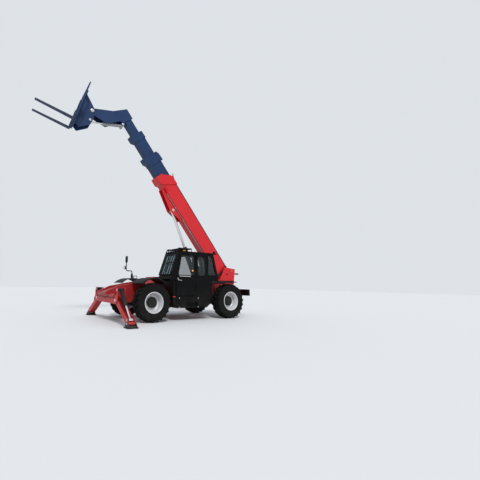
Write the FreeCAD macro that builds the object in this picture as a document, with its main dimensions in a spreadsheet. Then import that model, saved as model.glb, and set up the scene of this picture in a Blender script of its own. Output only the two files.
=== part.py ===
"""Telehandler with a four section boom, front stabilisers and all wheel steering.

Lengths are in millimetres and angles in degrees.  X points forward, Y to the left and Z up.
Every piece is drawn from the point on the floor under the middle of the rear axle, and then
moved back by axle_back, so that the origin lies on the floor under the middle of the machine.
Pieces of the boom are drawn from the boom's pivot pin with X along the boom, and pieces of the
fork carriage from its tilt pin with X along the forks.
"""

import FreeCAD, Part
import Sketcher
import math
import os
import re

# Columns: name, value, what it measures.
SIZES = [
    # The machine's stance
    ("axle_back", 2821.0, "rear axle behind the origin"),
    ("wheel_base", 3070.0, "rear axle to front axle"),
    ("wheel_side", 1005.0, "tyre's middle plane from the centre line"),
    ("kingpin_side", 720.0, "steering pin from the centre line"),
    ("pin_gap", 1.0, "room at a pin's end and at a seat"),
    ("seat_gap", 0.3, "room between pieces that lie against each other"),
    ("move_gap", 8.0, "room round a moving panel"),
    ("plate", 25.0, "heavy steel plate"),
    # Tyres, rims and hubs
    ("tyre_radius", 590.0, "tyre at the tips of its lugs"),
    ("tyre_width", 410.0, "tyre across its walls"),
    ("tyre_crown", 350.0, "tyre across its tread"),
    ("wall_radius", 480.0, "radius at which the tyre is widest"),
    ("rim_radius", 325.0, "rim's barrel, outside"),
    ("rim_width", 330.0, "rim between its flanges"),
    ("rim_wall", 14.0, "rim's barrel and flange thickness"),
    ("flange_rise", 24.0, "rim flange above the barrel"),
    ("disc_depth", 40.0, "rim's disc outside the middle plane"),
    ("disc_plate", 18.0, "rim's disc thickness"),
    ("hub_radius", 135.0, "wheel hub's housing"),
    ("hub_flange", 205.0, "hub flange that the disc is bolted to"),
    ("hub_reach", 150.0, "hub's cap outside the tyre's middle plane"),
    ("hub_inside", 110.0, "hub's inner end inside the tyre's middle plane"),
    # Axles and knuckles
    ("axle_tube", 78.0, "axle tube's radius"),
    ("gear_radius", 175.0, "differential housing's radius"),
    ("gear_width", 300.0, "differential housing across"),
    ("yoke_height", 190.0, "yoke above and below the axle's middle"),
    ("yoke_arm", 38.0, "yoke arm's thickness"),
    ("yoke_radius", 80.0, "yoke arm's round end"),
    ("knuckle_radius", 88.0, "knuckle's post"),
    ("spindle_radius", 112.0, "knuckle's drum towards the wheel"),
    # Frame
    ("frame_side", 295.0, "outside of the frame's side plates"),
    ("frame_top", 1100.0, "top edge of the side plates"),
    ("frame_arch", 800.0, "side plates' lower edge over the axles"),
    ("frame_belly", 450.0, "side plates' lower edge between the axles"),
    ("frame_low", 620.0, "side plates' lower edge at both ends"),
    ("frame_tail", 950.0, "side plates behind the rear axle"),
    ("arch_half", 210.0, "half length of the raised edge over an axle"),
    ("arch_run", 230.0, "length of the slope beside it"),
    ("belly_start", 900.0, "belly plate's start in front of the rear axle"),
    ("foot_ahead", 450.0, "lift cylinder's foot pin in front of the rear axle"),
    ("foot_height", 750.0, "lift cylinder's foot pin above the floor"),
    ("foot_ear", 98.0, "inner face of the ears at the foot"),
    ("ear_plate", 24.0, "ear plate's thickness"),
    ("ear_radius", 105.0, "ear's round end"),
    ("pin_radius", 35.0, "heavy pin"),
    # Rear tower
    ("tower_plate", 25.0, "tower plate's thickness"),
    ("tower_top", 130.0, "tower above the boom's pivot"),
    ("tower_back", 210.0, "tower behind the boom's pivot"),
    ("tower_ahead", 320.0, "tower in front of the pivot at its top"),
    ("tower_foot_back", 80.0, "tower's foot behind the boom's pivot"),
    ("tower_foot_ahead", 560.0, "tower's foot in front of the boom's pivot"),
    ("tower_lap", 250.0, "tower plates' lap on the side plates"),
    ("tower_step", 250.0, "height of the tower's front shoulder above the frame"),
    # Boom
    ("pivot_back", 820.0, "boom's pivot behind the rear axle"),
    ("pivot_height", 1700.0, "boom's pivot above the floor"),
    ("boom_angle", 52.0, "boom above the horizontal as it stands"),
    ("boss_radius", 85.0, "boss round the boom's pivot pin"),
    ("outer_tail", 170.0, "outer section behind the pivot"),
    ("outer_length", 4430.0, "outer section's upper edge in front of the pivot"),
    ("outer_chin", 290.0, "outer section's lower front beyond its upper edge"),
    ("outer_top", 10.0, "outer section's top below the pivot"),
    ("outer_depth", 560.0, "outer section's height"),
    ("outer_half", 200.0, "outer section's half width"),
    ("boom_wall", 12.0, "wall of every boom section"),
    ("slide_gap", 13.0, "room for the slide pads below and beside a section"),
    ("pad_length", 260.0, "slide pads along the boom"),
    ("pad_inset", 60.0, "slide pads behind a section's front end"),
    ("pad_margin", 40.0, "slide pads short of a section's corner"),
    ("collar_length", 370.0, "outer section's collar along its top"),
    ("collar_rise", 20.0, "outer collar above its section"),
    ("collar_drop", 70.0, "outer collar below its section"),
    ("collar_side", 25.0, "collar beside its section"),
    ("second_out", 820.0, "second section beyond the outer one"),
    ("second_length", 4900.0, "second section's length"),
    ("second_top", 50.0, "second section's top below the pivot"),
    ("third_out", 920.0, "third section beyond the second"),
    ("third_length", 5050.0, "third section's length"),
    ("third_top", 120.0, "third section's top below the pivot"),
    ("fourth_out", 590.0, "fourth section beyond the third"),
    ("fourth_length", 4750.0, "fourth section's length"),
    ("fourth_top", 210.0, "fourth section's top below the pivot"),
    ("second_ring", 390.0, "second section's collar along the boom"),
    ("second_bump", 90.0, "second collar above its section"),
    ("second_tab", 95.0, "second collar below its section"),
    ("third_ring", 280.0, "third section's collar along the boom"),
    ("third_bump", 25.0, "third collar above its section"),
    ("third_tab", 100.0, "third collar below its section"),
    ("tab_length", 190.0, "tab under a collar along the boom"),
    # Lift bracket and lift cylinder
    ("eye_along", 3330.0, "lift cylinder's upper pin from the pivot along the boom"),
    ("eye_under", 140.0, "lift cylinder's upper pin under the outer section"),
    ("bracket_back", 530.0, "lift bracket behind its pin"),
    ("bracket_front", 890.0, "lift bracket in front of its pin"),
    ("bracket_deep", 270.0, "lift bracket's lowest corner under the outer section"),
    ("bracket_rim", 100.0, "lift bracket's depth at both ends"),
    ("bracket_half", 125.0, "lift bracket's half width"),
    ("lift_barrel", 90.0, "lift cylinder's barrel, radius"),
    ("lift_rod", 52.0, "lift cylinder's rod, radius"),
    ("lift_reach", 1930.0, "barrel's upper end from the foot pin"),
    ("lift_inside", 110.0, "rod's inner end from the foot pin when it is shut"),
    ("lift_stroke", 1340.0, "how far the lift rod stands out more than when shut"),
    ("lift_eye", 72.0, "eyes of the lift cylinder, radius"),
    # Compensation cylinder
    ("comp_along", 260.0, "its rod's pin from the pivot along the boom"),
    ("comp_under", 75.0, "its rod's pin below the pivot"),
    ("comp_foot", 30.0, "its foot pin behind the rear axle"),
    ("comp_height", 1310.0, "its foot pin above the floor"),
    ("comp_side", 249.0, "its middle plane from the centre line"),
    ("comp_barrel", 36.0, "its barrel's radius"),
    ("comp_rod", 22.0, "its rod's radius"),
    ("comp_reach", 500.0, "its barrel's end from the foot pin"),
    ("comp_eye", 34.0, "its eyes' radius"),
    # Boom head
    ("head_half", 125.0, "head's half width over its cheeks"),
    ("head_cheek", 22.0, "head's cheek plates"),
    ("head_back", 60.0, "head's rear edge behind the fourth section's end"),
    ("head_front", 330.0, "head's top beyond the fourth section's end"),
    ("head_crest", 60.0, "head's top above the fourth section"),
    ("tilt_along", 730.0, "tilt pin beyond the fourth section's end"),
    ("tilt_under", 1230.0, "tilt pin below the fourth section's top"),
    ("tilt_round", 95.0, "head's round end at the tilt pin"),
    ("head_throat", 150.0, "head's back edge beyond the fourth section's end"),
    ("head_knee", 730.0, "head's knee above the tilt pin"),
    ("head_knee_back", 270.0, "head's knee behind the tilt pin"),
    ("head_heel", 250.0, "head's heel above the tilt pin"),
    ("head_heel_back", 590.0, "head's heel behind the tilt pin"),
    ("tilt_foot_back", 110.0, "tilt cylinder's foot pin behind the fourth section's end"),
    ("tilt_foot_under", 430.0, "tilt cylinder's foot pin below the fourth section's top"),
    ("tilt_barrel", 58.0, "tilt cylinder's barrel, radius"),
    ("tilt_rod", 30.0, "tilt cylinder's rod, radius"),
    ("tilt_reach", 730.0, "tilt barrel's end from its foot pin"),
    ("tilt_eye", 48.0, "tilt cylinder's eyes, radius"),
    # Fork carriage
    ("fork_angle", 15.0, "forks above the horizontal as they stand"),
    ("link_under", 366.0, "tilt rod's pin under the tilt pin"),
    ("link_back", 37.0, "tilt rod's pin behind the tilt pin"),
    ("lug_half", 66.0, "inner face of the coupler's lugs at the tilt rod"),
    ("coupler_plate", 22.0, "coupler's cheek plates"),
    ("coupler_ahead", 400.0, "coupler's face in front of the tilt pin"),
    ("coupler_rise", 490.0, "coupler's top above the tilt pin"),
    ("coupler_drop", 700.0, "coupler's foot below the tilt pin"),
    ("carriage_half", 520.0, "fork carriage's half width"),
    ("carriage_plate", 40.0, "fork carriage's bars, thickness"),
    ("carriage_bar", 110.0, "fork carriage's bars, height"),
    ("carriage_top", 60.0, "upper bar's middle below the tilt pin"),
    ("guard_top", 730.0, "load guard's top above the tilt pin"),
    ("guard_bar", 40.0, "load guard's bars"),
    ("fork_side", 350.0, "fork's middle from the centre line"),
    ("fork_width", 125.0, "fork's width"),
    ("fork_thick", 50.0, "fork's thickness"),
    ("fork_length", 1200.0, "fork's blade in front of its shank"),
    ("fork_tip", 12.0, "blade's thickness at its tip"),
    # Nose and stabilisers
    ("nose_half", 400.0, "nose's half width"),
    ("nose_start", 60.0, "nose's rear end behind the front axle"),
    ("nose_high", 1240.0, "nose's top at its rear end"),
    ("nose_mid", 1070.0, "nose's top at its bend"),
    ("nose_bend", 900.0, "nose's bend in front of the front axle"),
    ("nose_front", 1290.0, "nose's front end before the front axle"),
    ("nose_low", 900.0, "nose's top at its front end"),
    ("nose_sill", 560.0, "nose's lower edge"),
    ("nose_floor", 1030.0, "top of the plate between the nose's cheeks"),
    ("beam_ahead", 1030.0, "stabiliser beam's middle in front of the front axle"),
    ("beam_half", 980.0, "stabiliser beam's half length"),
    ("beam_low", 560.0, "beam's lower face"),
    ("beam_high", 830.0, "beam's upper face"),
    ("beam_slot", 78.0, "half of the slot in the beam's ends"),
    ("beam_plate", 14.0, "beam's plates"),
    ("leg_hinge_side", 900.0, "leg's hinge from the centre line"),
    ("leg_hinge_high", 660.0, "leg's hinge above the floor"),
    ("leg_half", 70.0, "leg's half width"),
    ("leg_plate", 12.0, "leg's plates"),
    ("leg_deep", 60.0, "leg's half depth"),
    ("foot_side", 1850.0, "stabiliser pad's middle from the centre line"),
    ("ram_side", 1020.0, "stabiliser cylinder's upper pin from the centre line"),
    ("ram_high", 970.0, "stabiliser cylinder's upper pin above the floor"),
    ("ram_foot_side", 1790.0, "stabiliser rod's pin from the centre line"),
    ("ram_foot_high", 200.0, "stabiliser rod's pin above the floor"),
    ("ram_barrel", 48.0, "stabiliser cylinder's barrel, radius"),
    ("ram_rod", 26.0, "stabiliser cylinder's rod, radius"),
    ("ram_reach", 600.0, "its barrel's end from the upper pin"),
    ("ram_eye", 42.0, "its eyes' radius"),
    ("pad_size", 450.0, "stabiliser pad's side"),
    ("pad_thick", 28.0, "stabiliser pad's thickness"),
    ("pad_lug", 42.0, "leg's round toe, radius"),
    ("pad_lug_high", 112.0, "leg's round toe above the floor"),
    # Cab
    ("cab_inside", 310.0, "cab's inner side from the centre line"),
    ("cab_outside", 1150.0, "cab's outer side from the centre line"),
    ("cab_wall", 42.0, "cab's walls"),
    ("cab_sill", 760.0, "cab's floor, underside"),
    ("cab_waist", 1400.0, "cab's waist above the floor"),
    ("cab_roof", 2360.0, "cab's roof, top"),
    ("cab_eave", 2200.0, "lower edge of the roof, top of the windows"),
    ("cab_rear", 800.0, "cab's rear in front of the rear axle, low down"),
    ("cab_hip", 550.0, "cab's rear in front of the rear axle, at the waist"),
    ("cab_hip_high", 1270.0, "height where the cab leaves room for the rear wheel"),
    ("cab_knee", 2290.0, "cab's front in front of the rear axle, low down"),
    ("cab_knee_high", 1270.0, "height where the cab leaves room for the front wheel"),
    ("cab_prow", 2640.0, "cab's front in front of the rear axle, at the waist"),
    ("cab_brow", 2120.0, "cab's front at the roof"),
    ("cab_nape", 830.0, "cab's rear at the roof"),
    ("pillar", 60.0, "pillars beside the windows"),
    ("post_ahead", 1490.0, "door post in front of the rear axle"),
    ("door_high", 2170.0, "top of the door"),
    ("door_low", 790.0, "bottom of the door"),
    ("door_frame", 55.0, "door's frame round its window"),
    ("door_belt", 1390.0, "bottom of the door's window"),
    ("glass", 6.0, "window glass"),
    ("hinge_proud", 16.0, "door's hinge line outside the cab's skin"),
    ("hinge_radius", 11.0, "door hinge's barrel"),
    ("hinge_tall", 90.0, "door hinge's barrel, height"),
    ("guard_proud", 45.0, "screen guard in front of the windscreen"),
    ("guard_rod", 11.0, "screen guard's bars, radius"),
    ("guard_count", 6.0, "screen guard's bars"),
    ("rack_high", 40.0, "roof guard above the roof"),
    ("box_low", 400.0, "side box's lower face"),
    ("box_inside", 330.0, "side box's inner side from the centre line"),
    ("step_deep", 110.0, "step's recess in the side box"),
    # Inside the cab
    ("seat_ahead", 1250.0, "seat's middle in front of the rear axle"),
    ("seat_side", 730.0, "seat's middle from the centre line"),
    ("seat_width", 480.0, "seat's width"),
    ("seat_high", 1260.0, "seat cushion's top"),
    ("seat_thick", 120.0, "seat cushion's thickness"),
    ("seat_back_tall", 560.0, "seat back's height"),
    ("seat_post", 110.0, "seat's pedestal, half width"),
    ("dash_ahead", 2080.0, "steering column's foot in front of the rear axle"),
    ("column_radius", 34.0, "steering column's radius"),
    ("column_tall", 640.0, "steering column's length"),
    ("column_lean", 25.0, "steering column's lean to the rear"),
    ("wheel_ring", 175.0, "steering wheel's radius"),
    ("wheel_grip", 14.0, "steering wheel's rim, radius"),
    # Engine side
    ("bay_inside", 330.0, "engine bay's inner side from the centre line"),
    ("bay_outside", 1130.0, "engine bay's outer side from the centre line"),
    ("bay_rear", 800.0, "engine bay's rear in front of the rear axle"),
    ("bay_front", 2290.0, "engine bay's front in front of the rear axle"),
    ("bay_low", 430.0, "engine bay's lower face"),
    ("bay_lip", 800.0, "upper edge of the engine bay's tray"),
    ("bay_top", 1400.0, "engine hood's top"),
    ("hood_wall", 20.0, "engine hood's and tray's wall"),
    ("engine_long", 900.0, "engine's length"),
    ("engine_wide", 480.0, "engine's width"),
    ("engine_tall", 640.0, "engine's height"),
    # Rear end and mudguards
    ("tail_half", 1060.0, "rear bumper's half width"),
    ("tail_deep", 180.0, "rear bumper's depth"),
    ("tail_low", 760.0, "rear bumper's lower face"),
    ("tail_tall", 230.0, "rear bumper's height"),
    ("tank_half", 262.0, "counterweight's half width"),
    ("hitch_low", 560.0, "tow hitch's lower jaw, underside"),
    ("hitch_jaw", 90.0, "tow hitch's opening"),
    ("hitch_plate", 25.0, "tow hitch's jaws"),
    ("hitch_width", 130.0, "tow hitch's width"),
    ("hitch_back", 110.0, "tow hitch's pin behind the rear bumper"),
    ("hitch_bore", 16.0, "tow hitch's bore, radius"),
    ("mudguard_room", 45.0, "mudguard above the tyre"),
    ("mudguard_half", 420.0, "mudguard's flat, half length"),
    ("mudguard_skirt", 170.0, "mudguard's slopes along the machine"),
    ("mudguard_drop", 110.0, "mudguard's slopes downwards"),
    ("mudguard_plate", 10.0, "mudguard's thickness"),
    # Lamps and mirrors
    ("lamp_radius", 62.0, "work lamp's radius"),
    ("lamp_deep", 70.0, "work lamp's depth"),
    ("beacon_radius", 50.0, "beacon's radius"),
    ("beacon_tall", 130.0, "beacon's height"),
    ("mirror_wide", 180.0, "mirror's width"),
    ("mirror_tall", 300.0, "mirror's height"),
    ("mirror_deep", 40.0, "mirror's depth"),
    ("stalk_radius", 13.0, "mirror's stalk"),
]

SIZE_NAMES = {name for name, value, meaning in SIZES}
WORD = re.compile(r"[a-z][a-z_]*")
DOC = FreeCAD.newDocument("Telehandler")
NODES = []

UP = FreeCAD.Vector(0, 0, 1)
PLANE_ROLES = {"side": "XZ_Plane", "plan": "XY_Plane", "front": "YZ_Plane"}
AXIS_TURNS = {
    "x": FreeCAD.Rotation(FreeCAD.Vector(0, 1, 0), 90),
    "y": FreeCAD.Rotation(FreeCAD.Vector(1, 0, 0), -90),
    "z": FreeCAD.Rotation(),
}


def open_sheet():
    """Write every size into the sheet, one row each, with its name as the cell's alias."""
    sheet = DOC.addObject("Spreadsheet::Sheet", "Sizes")
    for row, (name, value, meaning) in enumerate(SIZES, start=1):
        sheet.set(f"A{row}", name)
        sheet.set(f"B{row}", str(value))
        sheet.set(f"C{row}", meaning)
        sheet.setAlias(f"B{row}", name)
    DOC.recompute()
    return sheet


def size(name):
    """Read one size back from the sheet."""
    return float(SHEET.get(name))


def linked(formula):
    """Point every size named in a formula at its cell of the sheet."""
    def link(match):
        word = match.group(0)
        return f"Sizes.{word}" if word in SIZE_NAMES else word
    return WORD.sub(link, formula)


def bind(item, path, formula):
    """Drive one property of an object by a formula of named sizes."""
    item.setExpression(path, linked(formula))


def move_to(item, x="0", y="0", z="0"):
    """Place an object at a point given by three formulas."""
    bind(item, "Placement.Base.x", x)
    bind(item, "Placement.Base.y", y)
    bind(item, "Placement.Base.z", z)


def origin_plane(body, role):
    """Find one of a body's own origin planes."""
    return next(plane for plane in body.Origin.OriginFeatures if plane.Role == role)


def draw(body, plane, corners, level):
    """Sketch a closed outline of straight sides on a plane of the body, at a level along it.

    corners holds pairs of formulas; every corner is held by its two distances from the origin.
    """
    sketch = body.newObject("Sketcher::SketchObject", "Outline")
    sketch.AttachmentSupport = [(origin_plane(body, PLANE_ROLES[plane]), "")]
    sketch.MapMode = "FlatFace"
    sign = "-1" if plane == "side" else "1"
    bind(sketch, "AttachmentOffset.Base.z", f"{sign} * ({level})")
    count = len(corners)
    turns = [2 * math.pi * index / count for index in range(count)]
    ring = [FreeCAD.Vector(math.cos(turn), math.sin(turn), 0) * 500 for turn in turns]
    sides = [Part.LineSegment(ring[index], ring[(index + 1) % count]) for index in range(count)]
    sketch.addGeometry(sides, False)
    joins = [Sketcher.Constraint("Coincident", index, 2, (index + 1) % count, 1) for index in range(count)]
    sketch.addConstraint(joins)
    for index, (across, upward) in enumerate(corners):
        for kind, formula in (("DistanceX", across), ("DistanceY", upward)):
            held = sketch.addConstraint(Sketcher.Constraint(kind, -1, 1, index, 1, 1.0))
            bind(sketch, f"Constraints[{held}]", formula)
    return sketch


def padded(name, plane, corners, start, end):
    """A body with one outline padded from start to end along the plane's own axis."""
    body = DOC.addObject("PartDesign::Body", name)
    add_pad(body, plane, corners, start, end)
    return body


def add_pad(body, plane, corners, start, end):
    """Pad one more outline onto a body, from start to end."""
    sketch = draw(body, plane, corners, end if plane == "side" else start)
    pad = body.newObject("PartDesign::Pad", "Pad")
    pad.Profile = sketch
    bind(pad, "Length", f"({end}) - ({start})")
    return pad


def add_pocket(body, plane, corners, start, end):
    """Cut one outline out of a body, from start to end, and check that it cuts."""
    DOC.recompute()
    before = body.Shape.Volume
    sketch = draw(body, plane, corners, start if plane == "side" else end)
    pocket = body.newObject("PartDesign::Pocket", "Pocket")
    pocket.Profile = sketch
    bind(pocket, "Length", f"({end}) - ({start})")
    DOC.recompute()
    if not body.Shape.Volume < before:
        raise RuntimeError(f"a pocket of {body.Name} cuts nothing")
    return pocket


def turned(name, corners):
    """A body turned about the Y axis from a half section of (along Y, radius) corners."""
    body = DOC.addObject("PartDesign::Body", name)
    sketch = draw(body, "front", corners, "0")
    spin = body.newObject("PartDesign::Revolution", "Revolution")
    spin.Profile = sketch
    spin.ReferenceAxis = (origin_axis(body, "Y_Axis"), [""])
    spin.Angle = 360
    return body


def origin_axis(body, role):
    """Find one of a body's own origin axes."""
    return next(axis for axis in body.Origin.OriginFeatures if axis.Role == role)


def block(name, x, y, z):
    """A box between two formulas along each axis."""
    box = DOC.addObject("Part::Box", name)
    for path, (start, end) in (("Length", x), ("Width", y), ("Height", z)):
        bind(box, path, f"({end}) - ({start})")
    move_to(box, x[0], y[0], z[0])
    return box


def bar(name, axis, centre, start, end, radius):
    """A round bar along an axis, from start to end, through the other two of centre's formulas."""
    cylinder = DOC.addObject("Part::Cylinder", name)
    bind(cylinder, "Radius", radius)
    bind(cylinder, "Height", f"({end}) - ({start})")
    cylinder.Placement = FreeCAD.Placement(FreeCAD.Vector(), AXIS_TURNS[axis])
    place = dict(zip("xyz", centre))
    place[axis] = start
    move_to(cylinder, place["x"], place["y"], place["z"])
    return cylinder


def joined(name, *pieces):
    """One solid made of several that touch or overlap."""
    fuse = DOC.addObject("Part::MultiFuse", name)
    fuse.Shapes = list(pieces)
    return fuse


def without(name, base, *tools):
    """A solid less one or more others."""
    cut = DOC.addObject("Part::Cut", name)
    cut.Base = base
    cut.Tool = tools[0] if len(tools) == 1 else joined(f"{name}Tools", *tools)
    return cut


def mirrored(name, piece):
    """The same piece on the other side of the centre plane."""
    mirror = DOC.addObject("Part::Mirroring", name)
    mirror.Source = piece
    mirror.Normal = FreeCAD.Vector(0, 1, 0)
    return mirror


def gathered(name, *pieces):
    """Several solids that stay apart but belong to one piece."""
    group = DOC.addObject("Part::Compound", name)
    group.Links = list(pieces)
    return group


def on_machine(label, piece):
    """Name a piece that is drawn from the rear axle, and set it in the machine."""
    move_to(piece, "-axle_back")
    return named(label, piece)


def named(label, piece):
    """Give a finished piece the name of its file."""
    piece.Label = label
    NODES.append(piece)
    return piece


BOOM_X = "pivot_x"
BOOM_COS = "cos(boom_angle * 1 deg)"
BOOM_SIN = "sin(boom_angle * 1 deg)"


def boom_point(along, upward):
    """The place in the machine of a point given from the boom's pivot, along and across it."""
    x = f"-axle_back - pivot_back + ({along}) * {BOOM_COS} - ({upward}) * {BOOM_SIN}"
    z = f"pivot_height + ({along}) * {BOOM_SIN} + ({upward}) * {BOOM_COS}"
    return x, z


def set_at(piece, x, z, angle, y="0"):
    """Turn a piece nose up by an angle and set its own origin at a point of the machine."""
    piece.Placement = FreeCAD.Placement(FreeCAD.Vector(), FreeCAD.Rotation(FreeCAD.Vector(0, -1, 0), 10))
    bind(piece, "Placement.Rotation.Angle", angle)
    move_to(piece, x, y, z)


def on_boom(label, piece):
    """Name a piece that is drawn from the boom's pivot, and set it on the boom."""
    x, z = boom_point("0", "0")
    set_at(piece, x, z, "boom_angle")
    return named(label, piece)


def make_wheels():
    """Four tyres, and four rims with their hubs, drawn about the Y axis and set at the axles' ends.

    Columns: name, axle's place, side, turn about Z that points the dish outwards.
    """
    places = [
        ("front_left", "wheel_base - axle_back", "wheel_side", 0),
        ("front_right", "wheel_base - axle_back", "-wheel_side", 180),
        ("rear_left", "-axle_back", "wheel_side", 0),
        ("rear_right", "-axle_back", "-wheel_side", 180),
    ]
    for name, ahead, side, turn in places:
        rim = gathered(f"RimAndHub_{name}", make_rim(name), make_hub(name))
        for label, piece in (("tyre", make_tyre(name)), ("rim", rim)):
            piece.Placement = FreeCAD.Placement(FreeCAD.Vector(), FreeCAD.Rotation(UP, turn))
            move_to(piece, ahead, side, "tyre_radius")
            named(f"{label}_{name}", piece)


def make_tyre(name):
    """One tyre: a six sided half section turned about the axle."""
    bead = "rim_radius + seat_gap"
    return turned(f"Tyre_{name}", [
        ("-rim_width / 2", bead),
        ("-tyre_width / 2", "wall_radius"),
        ("-tyre_crown / 2", "tyre_radius"),
        ("tyre_crown / 2", "tyre_radius"),
        ("tyre_width / 2", "wall_radius"),
        ("rim_width / 2", bead),
    ])


def make_rim(name):
    """One rim: barrel with two flanges, and the disc that the hub carries."""
    flare = "(tyre_width - rim_width) / 2 * flange_rise / (wall_radius - rim_radius)"
    inner = f"rim_width / 2 + seat_gap + {flare}"
    outer = f"{inner} + rim_wall"
    well = "rim_radius - rim_wall"
    lip = "rim_radius + flange_rise"
    return turned(f"Rim_{name}", [
        (f"-({outer})", well),
        (f"-({outer})", lip),
        (f"-({inner})", lip),
        (f"-({inner})", "rim_radius"),
        (inner, "rim_radius"),
        (inner, lip),
        (outer, lip),
        (outer, well),
        ("disc_depth + disc_plate", well),
        ("disc_depth + disc_plate", "hub_radius + seat_gap"),
        ("disc_depth", "hub_radius + seat_gap"),
        ("disc_depth", well),
    ])


def make_hub(name):
    """One hub: inner drum, bolting flange and the planetary gear's cap."""
    return turned(f"Hub_{name}", [
        ("-hub_inside", "0"),
        ("-hub_inside", "hub_radius"),
        ("disc_depth - disc_plate - seat_gap", "hub_radius"),
        ("disc_depth - disc_plate - seat_gap", "hub_flange"),
        ("disc_depth - seat_gap", "hub_flange"),
        ("disc_depth - seat_gap", "hub_radius"),
        ("hub_reach * 0.7", "hub_radius"),
        ("hub_reach", "hub_radius * 0.7"),
        ("hub_reach", "0"),
    ])


def make_axle(label, ahead):
    """A steered axle: tube, differential housing and a yoke at each end for the knuckle."""
    middle = "tyre_radius"
    web = "kingpin_side - knuckle_radius - move_gap"
    tube = bar(f"{label}Tube", "y", (ahead, "0", middle), f"-({web})", web, "axle_tube")
    gear = bar(f"{label}Gear", "y", (ahead, "0", middle), "-gear_width / 2", "gear_width / 2", "gear_radius")
    nose = bar(f"{label}Nose", "x", ("0", "0", middle), f"{ahead} - gear_radius - axle_tube",
               f"{ahead} + gear_radius + axle_tube", "axle_tube")
    pieces = [tube, gear, nose]
    for side in ("", "-"):
        reach = (f"{web} - yoke_arm", web) if side == "" else (f"-({web})", f"-({web}) + yoke_arm")
        pieces.append(block(f"{label}Web", (f"{ahead} - yoke_radius", f"{ahead} + yoke_radius"), reach,
                            (f"{middle} - yoke_height", f"{middle} + yoke_height")))
        for low in (f"{middle} - yoke_height", f"{middle} + yoke_height - yoke_arm"):
            arm = (web, "kingpin_side") if side == "" else ("-kingpin_side", f"-({web})")
            pieces.append(block(f"{label}Arm", (f"{ahead} - yoke_radius", f"{ahead} + yoke_radius"), arm,
                                (low, f"{low} + yoke_arm")))
            pieces.append(bar(f"{label}End", "z", (ahead, f"{side}kingpin_side", "0"), low,
                              f"{low} + yoke_arm", "yoke_radius"))
    seat_low = f"{middle} + axle_tube * 0.6"
    for side in ("", "-"):
        wall = ("frame_side - plate", "frame_side") if side == "" else ("-frame_side", "plate - frame_side")
        pieces.append(block(f"{label}Seat", (f"{ahead} - axle_tube", f"{ahead} + axle_tube"), wall,
                            (seat_low, "frame_arch")))
    return on_machine(label, joined(label.title().replace("_", ""), *pieces))


def make_knuckles():
    """Four knuckles: a post between the yoke's arms and a drum that carries the wheel's hub.

    Columns: name, axle's place, sign of its side.
    """
    for name, ahead, side in (("front_left", "wheel_base", ""), ("front_right", "wheel_base", "-"),
                              ("rear_left", "0", ""), ("rear_right", "0", "-")):
        half = "yoke_height - yoke_arm - seat_gap"
        post = bar("Post", "z", (ahead, f"{side}kingpin_side", "0"), f"tyre_radius - ({half})",
                   f"tyre_radius + ({half})", "knuckle_radius")
        end = "wheel_side - hub_inside - seat_gap"
        reach = ("kingpin_side", end) if side == "" else (f"-({end})", "-kingpin_side")
        drum = bar("Drum", "y", (ahead, "0", "tyre_radius"), reach[0], reach[1], "spindle_radius")
        on_machine(f"knuckle_{name}", joined(f"Knuckle_{name}", post, drum))


FRAME_FRONT = "wheel_base + beam_ahead - beam_slot - beam_plate - seat_gap"


def make_frame():
    """The frame: two side plates with raised edges over the axles, cross plates and the
    ears that hold the foot of the lift cylinder."""
    outline = [
        ("-frame_tail", "frame_top"),
        ("-frame_tail", "frame_low"),
        ("-arch_half - arch_run", "frame_low"),
        ("-arch_half", "frame_arch"),
        ("arch_half", "frame_arch"),
        ("arch_half + arch_run", "frame_belly"),
        ("wheel_base - arch_half - arch_run", "frame_belly"),
        ("wheel_base - arch_half", "frame_arch"),
        ("wheel_base + arch_half", "frame_arch"),
        ("wheel_base + arch_half + arch_run / 2", "frame_low"),
        (FRAME_FRONT, "frame_low"),
        (FRAME_FRONT, "beam_high"),
        ("wheel_base + nose_bend * 0.5", "nose_low"),
        ("wheel_base", "frame_top"),
    ]
    inner = "frame_side - plate"
    left = padded("FramePlate", "side", outline, inner, "frame_side")
    right = mirrored("FramePlateRight", left)
    across = (f"-({inner})", inner)
    cross = [
        block("RearCross", ("-frame_tail", "-frame_tail + plate"), across, ("frame_low", "frame_top")),
        block("FrontCross", (f"{FRAME_FRONT} - plate", FRAME_FRONT), across, ("frame_low", "beam_high")),
        block("RearSaddle", ("-arch_half", "arch_half - plate"), across, ("frame_arch", "frame_arch + plate")),
        block("FrontSaddle", ("wheel_base - arch_half", "wheel_base + arch_half"), across,
              ("frame_arch", "frame_arch + plate / 2")),
        block("Belly", ("belly_start", "wheel_base - arch_half - arch_run"), across,
              ("frame_belly", "frame_belly + plate / 2")),
    ]
    ears = []
    for side in ("", "-"):
        far = ("foot_ear", "foot_ear + ear_plate") if side == "" else ("-foot_ear - ear_plate", "-foot_ear")
        boss = ("foot_ear + ear_plate / 2", inner) if side == "" else (f"-({inner})", "-foot_ear - ear_plate / 2")
        centre = ("foot_ahead", "0", "foot_height")
        ears.append(bar("FootEar", "y", centre, far[0], far[1], "ear_radius"))
        ears.append(bar("FootBoss", "y", centre, boss[0], boss[1], "pin_radius * 2"))
    bearers = []
    for place in ("cab_rear + step_deep", "cab_knee - step_deep * 2"):
        bearers.append(block("CabBearer", (place, f"{place} + step_deep"), ("frame_side", "cab_inside - seat_gap"),
                             ("cab_sill", "cab_sill + step_deep")))
    return on_machine("chassis_frame", joined("ChassisFrame", left, right, *cross, *ears, *bearers))


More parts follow.
